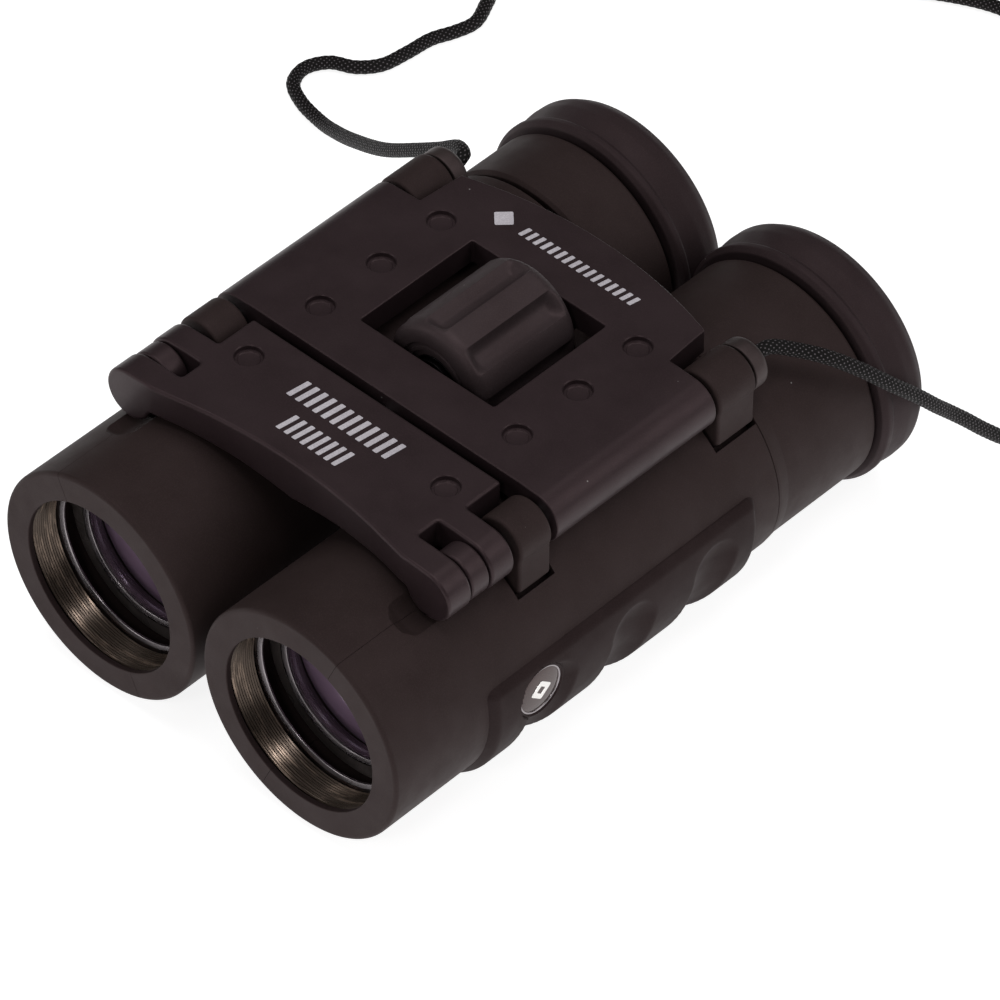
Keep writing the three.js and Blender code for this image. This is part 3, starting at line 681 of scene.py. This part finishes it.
# Straps: x of the outer side, z of its foot, the foot's middle corner, the inner corner.
KNUCKLE_STRAP = (27.25, 27.1, (25.6, 25.1), (20.55, 28.2))
LINK_STRAP = (24.6, 27.6, (23.9, 26.3), (21.7, 27.7))


def cover_cuts():
    """The trough under the hinge, and the slots for the two knuckles and the link."""
    groove = lathe([(0, -37.2), (2.2, -37.0), (3.3, -36.2), (3.9, -35.2), (GROOVE_R, -34.6),
                    (GROOVE_R, COVER_END_Y + 1), (0, COVER_END_Y + 1)], *HINGE, 96)
    slots = [along_y(slot_outline(0.4, *KNUCKLE_STRAP), y0 - 0.5, y1 + 0.4)
             for y0, y1 in (FRONT_KNUCKLE_Y, (REAR_KNUCKLE_Y[0], COVER_END_Y + 1))]
    link = along_y(slot_outline(0.3, *LINK_STRAP), LINK_Y[0] - 2.4, LINK_Y[1] + 1.2)
    return [groove, *slots, link]


SEAM = 0.03
RECESS_INSET = 0.6                 # the pad's edges overlap the recess under it by this much


def make_covers(name, side):
    for kind, outward in (("inner", False), ("outer", True)):
        shell = lathe(cover_profile(), *AXIS, 168)
        common(shell, half_space(outward, SEAM))
        if outward:
            y0, y1 = GRIP_Y
            inset = math.degrees(RECESS_INSET / GRIP_R)
            cut(shell, arc_slab((y0 + RECESS_INSET, y1 - RECESS_INSET), (GRIP_INNER - 0.3, 20),
                                (GRIP_ANGLES[0] - inset, GRIP_ANGLES[1] + inset), 40))
        else:
            pad = bevel(arc_slab(*INNER_PAD, 40, 0.5), 0.28, 3, 50)
            wheel_room = rod(WHEEL_R + 0.4, WHEEL_Y0 - 0.5, WHEEL_Y1 + 0.5, 0, WHEEL_Z, 96)
            join(shell, cut(pad, wheel_room))
        cut(shell, *cover_cuts())
        bevel(shell, 0.02, 1, 40)
        piece(shell, f"{name}_{kind}_shell", f"{name}_barrel", COVER, "cover", f"{name}_{kind}_cover",
              side=side)


PAD_STEP = 0.24
PAD_CORNER = 1.3                   # corner radius of the pad's outline
PAD_SLOPE = 1.05                   # width of its leaning edge
PAD_RISE = 1.0                     # how far that edge climbs out of the covers


def soft_min(a, b, width):
    """The smaller of two numbers, rounded off where they are within a width of each other."""
    near = max(width - abs(a - b), 0)
    return min(a, b) - near * near / (4 * width)


def hollow_floor(degrees, y):
    """Radius of the nearest finger hollow: a groove of round section with ball ends."""
    lowest = HOLLOW_RING
    for y0 in HOLLOW_YS:
        at = min(max(degrees, HOLLOW_TO), HOLLOW_FROM)
        along = math.radians(degrees - at) * GRIP_R
        across = y - y0 - HOLLOW_SLANT * (at - HOLLOW_MIDDLE)
        away = math.hypot(along, across)
        if away < HOLLOW_R:
            lowest = min(lowest, HOLLOW_RING - math.sqrt(HOLLOW_R ** 2 - away ** 2))
    return lowest


def pad_radius(degrees, y):
    """Outer radius of the grip pad: leaning edges, rounded corners, hollows and the badge's pocket."""
    (y0, y1), (top, bottom) = GRIP_Y, GRIP_ANGLES
    half_y = (y1 - y0) / 2
    half_s = math.radians(top - bottom) / 2 * GRIP_R
    s = math.radians(degrees - (top + bottom) / 2) * GRIP_R
    qy = abs(y - (y0 + y1) / 2) - half_y + PAD_CORNER
    qs = abs(s) - half_s + PAD_CORNER
    inside = PAD_CORNER - math.hypot(max(qy, 0), max(qs, 0)) - min(max(qy, qs), 0)
    full = GRIP_R + 0.13 * math.cos(math.radians(degrees + 25)) ** 4
    r = soft_min(full, full - PAD_RISE + PAD_RISE * inside / PAD_SLOPE, 0.35)
    r = soft_min(r, hollow_floor(degrees, y), 0.10)
    spot = math.hypot((math.radians(degrees) - BADGE_ANGLE) * GRIP_R, y - BADGE_Y)
    return min(r, BADGE_BASE - 0.1) if spot < BADGE_R + 0.05 else r


def make_grip(name, side):
    (y0, y1), (top, bottom) = GRIP_Y, GRIP_ANGLES
    rows = round((y1 - y0) / PAD_STEP)
    columns = round(math.radians(top - bottom) * GRIP_R / PAD_STEP)
    bm = bmesh.new()
    grid = []
    for i in range(columns + 1):
        degrees = top + (bottom - top) * i / columns
        line = []
        for k in range(rows + 1):
            y = y0 + (y1 - y0) * k / rows
            x, z = around(pad_radius(degrees, y), math.radians(degrees))
            line.append(bm.verts.new((x, y, z)))
        grid.append(line)
    floor = []
    for i in range(columns + 1):
        x, z = around(GRIP_INNER, math.radians(top + (bottom - top) * i / columns))
        floor.append([bm.verts.new((x, y, z)) for y in (y0, y1)])
    for i in range(columns):
        first, second = grid[i], grid[i + 1]
        for k in range(rows):
            bm.faces.new((first[k], first[k + 1], second[k + 1], second[k]))
        bm.faces.new((floor[i][0], floor[i][1], floor[i + 1][1], floor[i + 1][0]))
        bm.faces.new((floor[i][0], floor[i + 1][0], second[0], first[0]))
        bm.faces.new((floor[i][1], floor[i + 1][1], second[-1], first[-1]))
    for line, ends in ((grid[0], floor[0]), (grid[-1], floor[-1])):
        bm.faces.new([*line, ends[1], ends[0]])
    piece(mesh_object(bm), f"{name}_grip", f"{name}_barrel", GRIP_RUBBER, "grip_rubber", f"{name}_grip_pad",
          sharp=50, side=side)


def make_badge(name, side):
    """Dark domed plate with a plain silver lozenge and a bright rim, in a bezel at the front hollow."""
    r = BADGE_R
    crown = [((r - 0.3) * math.cos(t), 0.2 + 0.3 * math.sin(t)) for t in
             [math.radians(9 * k) for k in range(1, 11)]]
    plate = lathe([(0, 0), (r - 0.3, 0), (r - 0.3, 0.2), *crown], 0, 0, 64)
    lozenge = extrude(rounded([(-1.75, 0, 0.3), (0, -1.5, 0.3), (1.75, 0, 0.3), (0, 1.5, 0.3)], 4), 0.2, 0.54,
                      lambda a, b, t: (a, t, b))
    window = extrude(rounded([(-0.7, 0, 0.15), (0, -0.6, 0.15), (0.7, 0, 0.15), (0, 0.6, 0.15)], 4), 0, 1,
                     lambda a, b, t: (a, t, b))
    cut(lozenge, window)
    bevel(lozenge, 0.05, 2, 50)
    rim = lathe(rounded([(r - 0.5, 0), (r - 0.15, 0), (r - 0.15, 0.42, 0.12), (r - 0.5, 0.42, 0.12)], 4),
                0, 0, 96)
    bezel = lathe(rounded([(r - 0.32, -0.2), (r + 0.2, -0.2), (r + 0.2, 0.45, 0.1), (r - 0.05, 0.62, 0.1),
                           (r - 0.32, 0.4, 0.08)], 4), 0, 0, 96)
    x, z = around(BADGE_BASE, BADGE_ANGLE)
    place = (Matrix.Translation((x, BADGE_Y, z)) @ Matrix.Rotation(-BADGE_ANGLE, 4, "Y")
             @ Matrix.Rotation(-math.pi / 2, 4, "Z"))
    for obj, title, material, slot, nodes in (
            (plate, "badge_plate", BADGE_DARK, "badge", [f"{name}_badge"]),
            (lozenge, "badge_lozenge", CHROME, "badge", []),
            (rim, "badge_rim", BRIGHT_RING, "badge", []),
            (bezel, "badge_bezel", GRIP_RUBBER, "grip_rubber", [])):
        obj.data.transform(place)
        piece(obj, f"{name}_{title}", f"{name}_barrel", material, slot, *nodes, side=side)


def knuckle_outline(radius, right, low_right, low_mid, left):
    """Knuckle and strap in one outline, seen along Y: the circle round the pin runs into the strap."""
    drop = math.degrees(math.acos(min(right - HINGE_X, radius) / radius))
    turn = math.degrees(math.acos(max(left[0] - HINGE_X, -radius) / radius))
    circle = arc(HINGE_X, HINGE_Z, radius, -drop, 360 - turn if turn < 180 else 180, 40)
    points = [*circle, (left[0], left[1]), (low_mid[0], low_mid[1], 0.5), (right, low_right, 0.5)]
    return rounded(points, 5)


def make_frame(name, side):
    """Tube inside the covers with the two big knuckles."""
    tube = lathe([(12.3, FRONT_KNUCKLE_Y[0]), (13.3, FRONT_KNUCKLE_Y[0]), (13.3, REAR_KNUCKLE_Y[1]),
                  (12.3, REAR_KNUCKLE_Y[1])], *AXIS, 96)
    for y0, y1 in (FRONT_KNUCKLE_Y, REAR_KNUCKLE_Y):
        outline = knuckle_outline(KNUCKLE_R, *KNUCKLE_STRAP)
        join(tube, bevel(along_y(outline, y0, y1), 0.45, 4, 50))
    cut(tube, rod(BORE_R, -40, 30, *HINGE), rod(12.3, -40, 30, *AXIS, 96))
    piece(tube, f"{name}_knuckles", f"{name}_barrel", COVER, "cover", f"{name}_barrel_frame", side=side)


def make_objective(name, side):
    """Link arm, cell, retaining ring and lens; in the barrel, the threaded sleeve and its bright lip."""
    carrier, barrel = f"{name}_lens_carrier", f"{name}_barrel"
    cell = lathe(rounded([(10.9, -37.2, 0.12), (12.9, -37.2, 0.12), (13.2, -36.9), (13.2, -22.0),
                          (9.8, -22.0), (9.8, -30.7), (10.9, -30.7)], 3), *AXIS)
    outline = knuckle_outline(LINK_EYE_R, *LINK_STRAP)
    arm = bevel(along_y(outline, LINK_Y[0] - 0.1, LINK_Y[1] + 0.1), 0.35, 4, 50)
    cut(arm, rod(BORE_R, -40, 30, *HINGE))
    piece(arm, f"{name}_link_arm", carrier, PLATE, "plate", side=side)
    piece(cell, f"{name}_cell", carrier, CELL, "anodised", f"{name}_objective_cell", side=side)
    ring = lathe(rounded([(9.7, -37.6, 0.1), (10.6, -37.9, 0.25), (10.6, -35.4), (10.2, -35.4),
                          (10.0, -36.0, 0.1), (9.9, -36.0), (9.7, -36.5, 0.1), (9.55, -36.5, 0.05),
                          (9.55, -37.0)], 4), *AXIS)
    piece(ring, f"{name}_ring", carrier, BRIGHT_RING, "anodised", f"{name}_lens_retainer", side=side)
    glass = lathe([*arc_profile(10.6, -34.9, -1.1, 14), *arc_profile(10.6, -31.3, 0.3, 8)[::-1]], *AXIS)
    piece(glass, f"{name}_front_lens", carrier, LENS, "coated_glass", f"{name}_objective_lens", side=side)
    thread = [(12.6, FRONT_Y + 1.25), (12.6, FRONT_Y + 5.15), (12.3, FRONT_Y + 5.15)]
    pitch, count = 0.34, 11
    for k in range(count):
        y = FRONT_Y + 5.05 - k * pitch
        thread += [(12.15, y), (12.03, y - pitch / 2)]
    thread += [(12.2, FRONT_Y + 1.3), (12.2, FRONT_Y + 1.25)]
    sleeve = lathe(thread, *AXIS)
    piece(sleeve, f"{name}_front_thread", barrel, THREAD, "anodised", sharp=50, side=side)
    lip = lathe(rounded([(12.7, FRONT_Y + 5.2), (11.75, FRONT_Y + 5.2, 0.15), (11.2, FRONT_Y + 5.45, 0.2),
                         (11.2, FRONT_Y + 5.7, 0.15), (11.6, FRONT_Y + 5.9, 0.1), (12.7, FRONT_Y + 5.9)], 5),
                *AXIS)
    piece(lip, f"{name}_front_lip", barrel, BRIGHT_RING, "anodised", side=side)


def arc_profile(radius, edge_y, rise, steps):
    return [(radius * k / steps, edge_y + rise * (1 - (k / steps) ** 2)) for k in range(steps + 1)]


def make_eyepiece(name, side):
    """Tube behind the covers, ocular barrel with its lens, and the rubber eyecup."""
    barrel = f"{name}_barrel"
    inner = "left_ocular" if side < 0 else barrel
    end = LEFT_TUBE_END if side < 0 else EYECUP_Y0 - 0.4
    start = COVER_END_Y + 0.1
    tube = lathe(rounded([(13.2, start), (COVER_REAR_R - 0.04, start, 0.1),
                          (COVER_REAR_R - 0.08, start + 0.5, 0.5), (TUBE_R, start + 1.9, 1.5),
                          (TUBE_R, end, 0.6 if side > 0 else 0.25), (13.2, end)], 5), *AXIS, 168)
    cut(tube, rod(GROOVE_R, 0, 22.3, *HINGE, 96))
    bevel(tube, 0.1, 2, 50)
    piece(tube, f"{name}_rear_tube", barrel, COVER, "cover", f"{name}_eyepiece_tube", side=side)
    ocular = lathe(rounded([(8.0, 23.0), (12.9, 23.0), (12.9, 40.2, 0.3), (9.0, 40.2, 0.3), (9.0, 39.0),
                            (10.0, 39.0), (10.0, 33.6), (8.0, 33.6)], 4), *AXIS)
    piece(ocular, f"{name}_ocular", inner, ANODISED, "anodised", f"{name}_ocular_tube", side=side)
    glass = lathe([*arc_profile(9.7, 34.6, -0.7, 10), *arc_profile(9.7, 38.0, 0.6, 10)[::-1]], *AXIS)
    piece(glass, f"{name}_rear_lens", inner, LENS, "coated_glass", f"{name}_eye_lens", side=side)
    y0 = EYECUP_Y0
    cup = lathe(rounded([(13.2, y0), (15.5, y0, 0.4), (16.08, y0 + 0.6, 0.6), (16.08, y0 + 1.35, 0.35),
                         (15.72, y0 + 1.75, 0.25), (15.78, y0 + 2.3, 1.2), (16.08, y0 + 4.3, 3.0),
                         (16.0, REAR_Y - 2.2, 2.0), (15.1, REAR_Y - 0.75, 1.6), (13.6, REAR_Y, 0.9),
                         (13.0, REAR_Y - 0.4, 0.3), (13.0, REAR_Y - 2.7, 1.0)], 8), *AXIS, 168)
    piece(cup, f"{name}_cup", "dioptre_ring" if side < 0 else barrel, CUP_RUBBER, "eyecup_rubber",
          f"{name}_eyecup", sharp=60, side=side)


def make_dioptre_ring():
    ring = lathe(rounded([(13.2, RING_Y0), (TUBE_R - 0.4, RING_Y0, 0.15), (TUBE_R, RING_Y0 + 0.5, 0.3),
                          (TUBE_R, RING_Y1, 0.6), (13.2, RING_Y1)], 5), *AXIS, 168)
    piece(ring, "dioptre_collar", "dioptre_ring", COVER, "cover", "dioptre_ring", side=-1)


# ---- bridge
def plate_section(underside):
    """Cross-section of a plate: flat top, a faint crease, then the edges rolled round the fold axes."""
    end = -180 + math.degrees(math.asin((HINGE_Z - underside[0][1]) / ROLL_R))
    right = [(FLAT_X, PLATE_TOP), *arc(HINGE_X, HINGE_Z, ROLL_R, 92, end, 44)]
    left = [(-a, b) for a, b in reversed(right)]
    return [*right, *underside, *left]


def dimple_cutters(ys):
    """Round wells with a small chamfer round the rim and a slightly dished floor."""
    cutters = []
    profile = rounded([(0, -0.72), (1.28, -0.72, 0.12), (1.4, -DIMPLE_DEPTH),
                       (DIMPLE_R - 0.06, -DIMPLE_DEPTH), (DIMPLE_R, -0.12), (DIMPLE_R + 0.14, 0.02),
                       (DIMPLE_R + 0.14, 1), (0, 1)], 3)
    for y in ys:
        for side in (-1, 1):
            cutter = lathe(profile, 0, 0, 40)
            cutter.data.transform(Matrix.Rotation(math.pi / 2, 4, "X"))
            cutter.data.transform(Matrix.Translation((side * DIMPLE_X, y, PLATE_TOP)))
            cutters.append(cutter)
    return cutters


def pin_bores(y0):
    return [rod(BORE_R, y0, 30, s * HINGE_X, HINGE_Z) for s in (-1, 1)]


def make_main_bridge():
    low = PLATE_TOP - 3.5
    body = along_y(plate_section([(NECK_X, low), (-NECK_X, low)]), PLATE_FRONT_Y, ROLL_END_Y)
    crown = PLATE_REAR_Y - REAR_CORNER[1]
    radius = (REAR_CORNER[0] ** 2 + crown ** 2) / (2 * crown)
    half = math.degrees(math.asin(REAR_CORNER[0] / radius))
    curve = arc(0, PLATE_REAR_Y - radius, radius, 90 - half, 90 + half, 28)
    tail = [(-NECK_X, ROLL_END_Y - 1), (NECK_X, ROLL_END_Y - 1), *curve]
    join(body, along_z(tail, low, PLATE_TOP))
    y0, y1 = WINDOW_Y
    window = rounded([(-WINDOW_X, y0, 0.35), (WINDOW_X, y0, 0.35), (WINDOW_X, y1, 0.35),
                      (-WINDOW_X, y1, 0.35)], 4)
    cut(body, along_z(window, 25, 40), *pin_bores(-40))
    bevel(body, 0.18, 3, 40)
    cut(body, *dimple_cutters(DIMPLE_YS))
    bearings = [box((-3.5, 3.5), ys, (29.6, low + 0.2)) for ys in ((PLATE_FRONT_Y + 1.5, y0 - 0.6),
                                                                   (y1 + 0.6, y1 + 5.5))]
    join(body, *bearings)
    cut(body, rod(1.7, -30, 25, 0, WHEEL_Z))
    piece(body, "main_plate", "bridge", PLATE, "plate", "main_bridge")


def make_front_bridge():
    """The plate that slides with the focus: arched underside, ears round the pins, room for the links."""
    arch = [(20.6, 32.2), (16.2, 32.2), (8, 31.5), (0, 30.4), (-8, 31.5), (-16.2, 32.2), (-20.6, 32.2)]
    slab = along_y(plate_section(arch), FRONT_EAR_Y, FRONT_REAR_Y)
    side, ear_x, notch = NECK_X - 0.3, HINGE_X + ROLL_R + 1, FRONT_NOTCH_Y + 0.4
    bow = [(14 - 28 * k / 16, FRONT_EDGE_Y + (FRONT_MID_Y - FRONT_EDGE_Y) * (1 - (1 - k / 8) ** 2))
           for k in range(17)]
    outline = [(-side, FRONT_REAR_Y), (-side, notch, 0.4), (-ear_x, notch), (-ear_x, FRONT_EAR_Y),
               (-20, FRONT_EAR_Y), *reversed(bow), (20, FRONT_EAR_Y), (ear_x, FRONT_EAR_Y), (ear_x, notch),
               (side, notch, 0.4), (side, FRONT_REAR_Y)]
    common(slab, along_z(rounded(outline, 4), 20, 45))
    rooms = []
    for s in (-1, 1):
        xs = sorted((s * 18.9, s * (ear_x + 1)))
        rooms.append(box(xs, (END_EAR[1], SECOND_EAR[0]), (20, 45)))
    cut(slab, *rooms)
    bevel(slab, 0.42, 4, 40)
    cut(slab, *pin_bores(FRONT_EAR_Y + EAR_WALL), *dimple_cutters([FRONT_DIMPLE_Y]))
    join(slab, box((-4.5, 4.5), (-24.5, -17.5), (28.9, 32.6)))
    cut(slab, rod(2.9, NUT_Y[0] - 0.3, -10, 0, WHEEL_Z), rod(1.7, -27.0, NUT_Y[0], 0, WHEEL_Z))
    piece(slab, "front_plate", "front_bridge", PLATE, "plate", "front_bridge")


def make_pins_and_lugs(name, side):
    low, high = span(f"{name}_hinge_pin")
    pin = lathe(rounded([(0, low.y), (PIN_R, low.y, 0.25), (PIN_R, high.y, 0.2), (0, high.y)], 4),
                side * HINGE_X, HINGE_Z, 40)
    piece(pin, f"{name}_pin", "bridge", STEEL, "steel", f"{name}_hinge_pin")
    y0, y1 = span(f"{name}_lug_cap")[0].y, span(f"{name}_lug_cap")[1].y
    cap = lathe(rounded([(BORE_R, y0), (3.25, y0, 0.15), (3.25, y1, 0.9), (1.25, y1, 0.25),
                         (1.25, y1 - 0.6), (BORE_R, y1 - 0.6)], 6), side * HINGE_X, HINGE_Z, 72)
    piece(cap, f"{name}_lug", "bridge", LUG_PLASTIC, "lug", f"{name}_lug_cap")


FLUTES = 7
FLUTE_ANGLE = 44                   # from the top towards +X
FLUTE_HALF = 13.5
FLUTE_DEPTH = 1.25


def wheel_angles():
    """Angles round the wheel, closer together at the edges of the flutes."""
    land = 180 / FLUTES - FLUTE_HALF
    offsets = [-FLUTE_HALF - land + land * k / 8 for k in range(8)]
    offsets += [-FLUTE_HALF + 2 * FLUTE_HALF * k / 26 for k in range(27)]
    offsets += [FLUTE_HALF + land * k / 8 for k in range(1, 8)]
    turns = [FLUTE_ANGLE + 360 / FLUTES * i for i in range(FLUTES)]
    return [middle + offset for middle in turns for offset in offsets]


def flute_depth(offset):
    """Depth of a flute at an angle from its middle line: a trough with steep sides and crisp edges."""
    return FLUTE_DEPTH * (1 - min(abs(offset) / FLUTE_HALF, 1) ** 2.6)


def wheel_point(r, y, degrees):
    """A point at a radius round the wheel's axis, its angle counted from the top towards +X."""
    a = math.radians(degrees)
    return r * math.sin(a), y, WHEEL_Z + r * math.cos(a)


def make_wheel():
    """Rubber wheel: radius from its rounded ends, less long flutes with sloping ends."""
    end = 1.9
    ys = [WHEEL_Y0 + (WHEEL_Y1 - WHEEL_Y0) * k / 96 for k in range(97)]
    angles = wheel_angles()
    bm = bmesh.new()
    rings = []
    for y in ys:
        near = min(y - WHEEL_Y0, WHEEL_Y1 - y)
        drop = end - math.sqrt(max(end ** 2 - max(end - near, 0) ** 2, 0))
        length = smoothstep(0.8, 2.6, near)
        ring = []
        for degrees in angles:
            offset = (degrees - FLUTE_ANGLE + 180 / FLUTES) % (360 / FLUTES) - 180 / FLUTES
            r = WHEEL_R - drop * 0.85 - flute_depth(offset) * length
            ring.append(bm.verts.new(wheel_point(r, y, degrees)))
        rings.append(ring)
    inner = [(5.2, 0.0), (5.05, 0.3), (4.6, 0.3), (4.5, 0.1), (4.1, 0.1), (4.0, 0.4), (3.3, 0.4)]
    for y, sign in ((WHEEL_Y0, 1), (WHEEL_Y1, -1)):
        for r, lift in inner:
            ring = [bm.verts.new(wheel_point(r, y + sign * lift, degrees)) for degrees in angles]
            rings.insert(0, ring) if sign > 0 else rings.append(ring)
    count = len(angles)
    for first, second in zip(rings, rings[1:] + rings[:1]):
        for k in range(count):
            n = (k + 1) % count
            bm.faces.new((first[k], first[n], second[n], second[k]))
    wheel = mesh_object(bm)
    piece(wheel, "wheel_tyre", "focus_wheel", WHEEL_RUBBER, "wheel_rubber", "focus_wheel", sharp=28)


def make_hub():
    """The stepped rings at the wheel's front end, and the focus screw."""
    y0, y1 = span("focus_wheel_hub")[0].y, span("focus_wheel_hub")[1].y
    steps = rounded([(1.7, y0, 0.1), (2.1, y0, 0.1), (2.1, y0 + 0.35), (2.5, y0 + 0.35, 0.08),
                     (2.9, y0 + 0.35, 0.1), (2.9, y0 + 0.9), (3.25, y0 + 0.9, 0.08), (3.25, y1 - 0.6, 0.08),
                     (2.9, y1 - 0.6), (2.9, y1, 0.15), (1.7, y1, 0.1)], 3)
    piece(lathe(steps, 0, WHEEL_Z, 96), "wheel_hub", "focus_wheel", HUB_DARK, "hub", "focus_wheel_hub")
    low, high = span("focus_screw")
    screw = [(0, low.y)]
    pitch = 0.75
    count = int((WHEEL_Y0 - 0.6 - low.y) / pitch)
    for k in range(count):
        screw += [(1.15, low.y + k * pitch), (1.4, low.y + (k + 0.5) * pitch)]
    screw += [(1.4, WHEEL_Y0 - 0.6), (1.4, high.y), (0, high.y)]
    piece(lathe(screw, 0, WHEEL_Z, 48), "wheel_screw", "focus_wheel", STEEL, "steel", "focus_screw", sharp=20)


# ---- plain printed marks
PRINT_RAISE = 0.02


def slanted_bars(x0, x1, y0, y1, count, lean):
    """A row of leaning bars between two ends: a plain hatch, with no letters in it."""
    pitch = (x1 - x0) / count
    bars = []
    for k in range(count):
        a = x0 + k * pitch
        b = a + pitch * 0.52
        bars.append(rounded([(a, y0, 0.12), (b, y0, 0.12), (b + lean, y1, 0.12), (a + lean, y1, 0.12)], 3))
    return bars


def make_print(outlines, name, body):
    bars = [along_z(outline, PLATE_TOP - 0.01, PLATE_TOP + PRINT_RAISE) for outline in outlines]
    bm = bmesh.new()
    for bar in bars:
        bm.from_mesh(bar.data)
        bpy.data.objects.remove(bar)
    piece(mesh_object(bm), name, body, PRINT, "print")


for side_name, side_sign in SIDES:
    make_covers(side_name, side_sign)
    make_grip(side_name, side_sign)
    make_badge(side_name, side_sign)
    make_frame(side_name, side_sign)
    make_objective(side_name, side_sign)
    make_eyepiece(side_name, side_sign)
    make_pins_and_lugs(side_name, side_sign)
make_dioptre_ring()
make_main_bridge()
make_front_bridge()
make_wheel()
make_hub()
diamond = rounded([(-10.6, 15.2, 0.2), (-9.0, 16.8, 0.2), (-10.6, 18.4, 0.2), (-12.2, 16.8, 0.2)], 3)
make_print([diamond, *slanted_bars(-7.6, 10.9, 15.95, 17.6, 16, 0.3)], "rear_marks", "bridge")
make_print([*slanted_bars(-8.2, 8.3, -22.3, -19.1, 12, 0.4), *slanted_bars(-5.2, 4.9, -27.1, -24.1, 8, 0.4)],
           "front_marks", "front_bridge")

CARRIED = {"prism_cage": ANODISED, "half_penta_prism": PRISM, "roof_prism": PRISM, "field_stop": ANODISED,
           "field_lens": PRISM}


def finish_carried_nodes():
    """Materials for the CAD nodes that stay: the sealed optics and the focus nut."""
    materials = {f"{name}_{part}": material for name, _ in SIDES for part, material in CARRIED.items()}
    materials["focus_nut"] = BRASS
    for node, material in materials.items():
        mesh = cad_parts[node].data
        mesh.materials.clear()
        mesh.materials.append(material)


finish_carried_nodes()


# ---- floor and light
def make_floor():
    material, nodes, links, shader = new_material("pale_floor")
    factor = remap(nodes, links, object_noise(nodes, links, 3.0), 0.3, 0.7)
    tone = mix_colour(nodes, links, factor, (0.50, 0.50, 0.50), (0.52, 0.52, 0.52))
    links.new(tone, shader.inputs["Base Color"])
    set_inputs(shader, Roughness=0.9, Specular_IOR_Level=0.1, Emission_Color=(1, 1, 1, 1),
               Emission_Strength=0.86)
    bm = bmesh.new()
    bmesh.ops.create_grid(bm, x_segments=2, y_segments=2, size=6.0)
    floor = mesh_object(bm, "floor")
    floor.data.materials.append(material)


def area_light(name, place, size, power):
    """A square light aimed at the origin."""
    data = bpy.data.lights.new(name, "AREA")
    data.shape = "RECTANGLE"
    data.size, data.size_y = size, size
    data.energy = power
    light = new_object(name, data)
    light.location = place
    light.rotation_euler = Vector(place).to_track_quat("Z", "Y").to_euler()


def make_world(strength):
    world = bpy.data.worlds.new("studio")
    world.use_nodes = True
    set_inputs(world.node_tree.nodes["Background"], Color=(1, 1, 1, 1), Strength=strength)
    bpy.context.scene.world = world


make_floor()
area_light("overhead", (-0.1, 0.1, 1.5), 1.2, 9)
area_light("front_left", (-1.1, -1.4, 0.8), 0.8, 5)
area_light("front", (0.48, -1.09, 1.15), 0.22, 2.6)
area_light("right", (1.1, 0.7, 1.0), 1.1, 6)
make_world(0.10)
bpy.context.scene.view_settings.view_transform = "Standard"
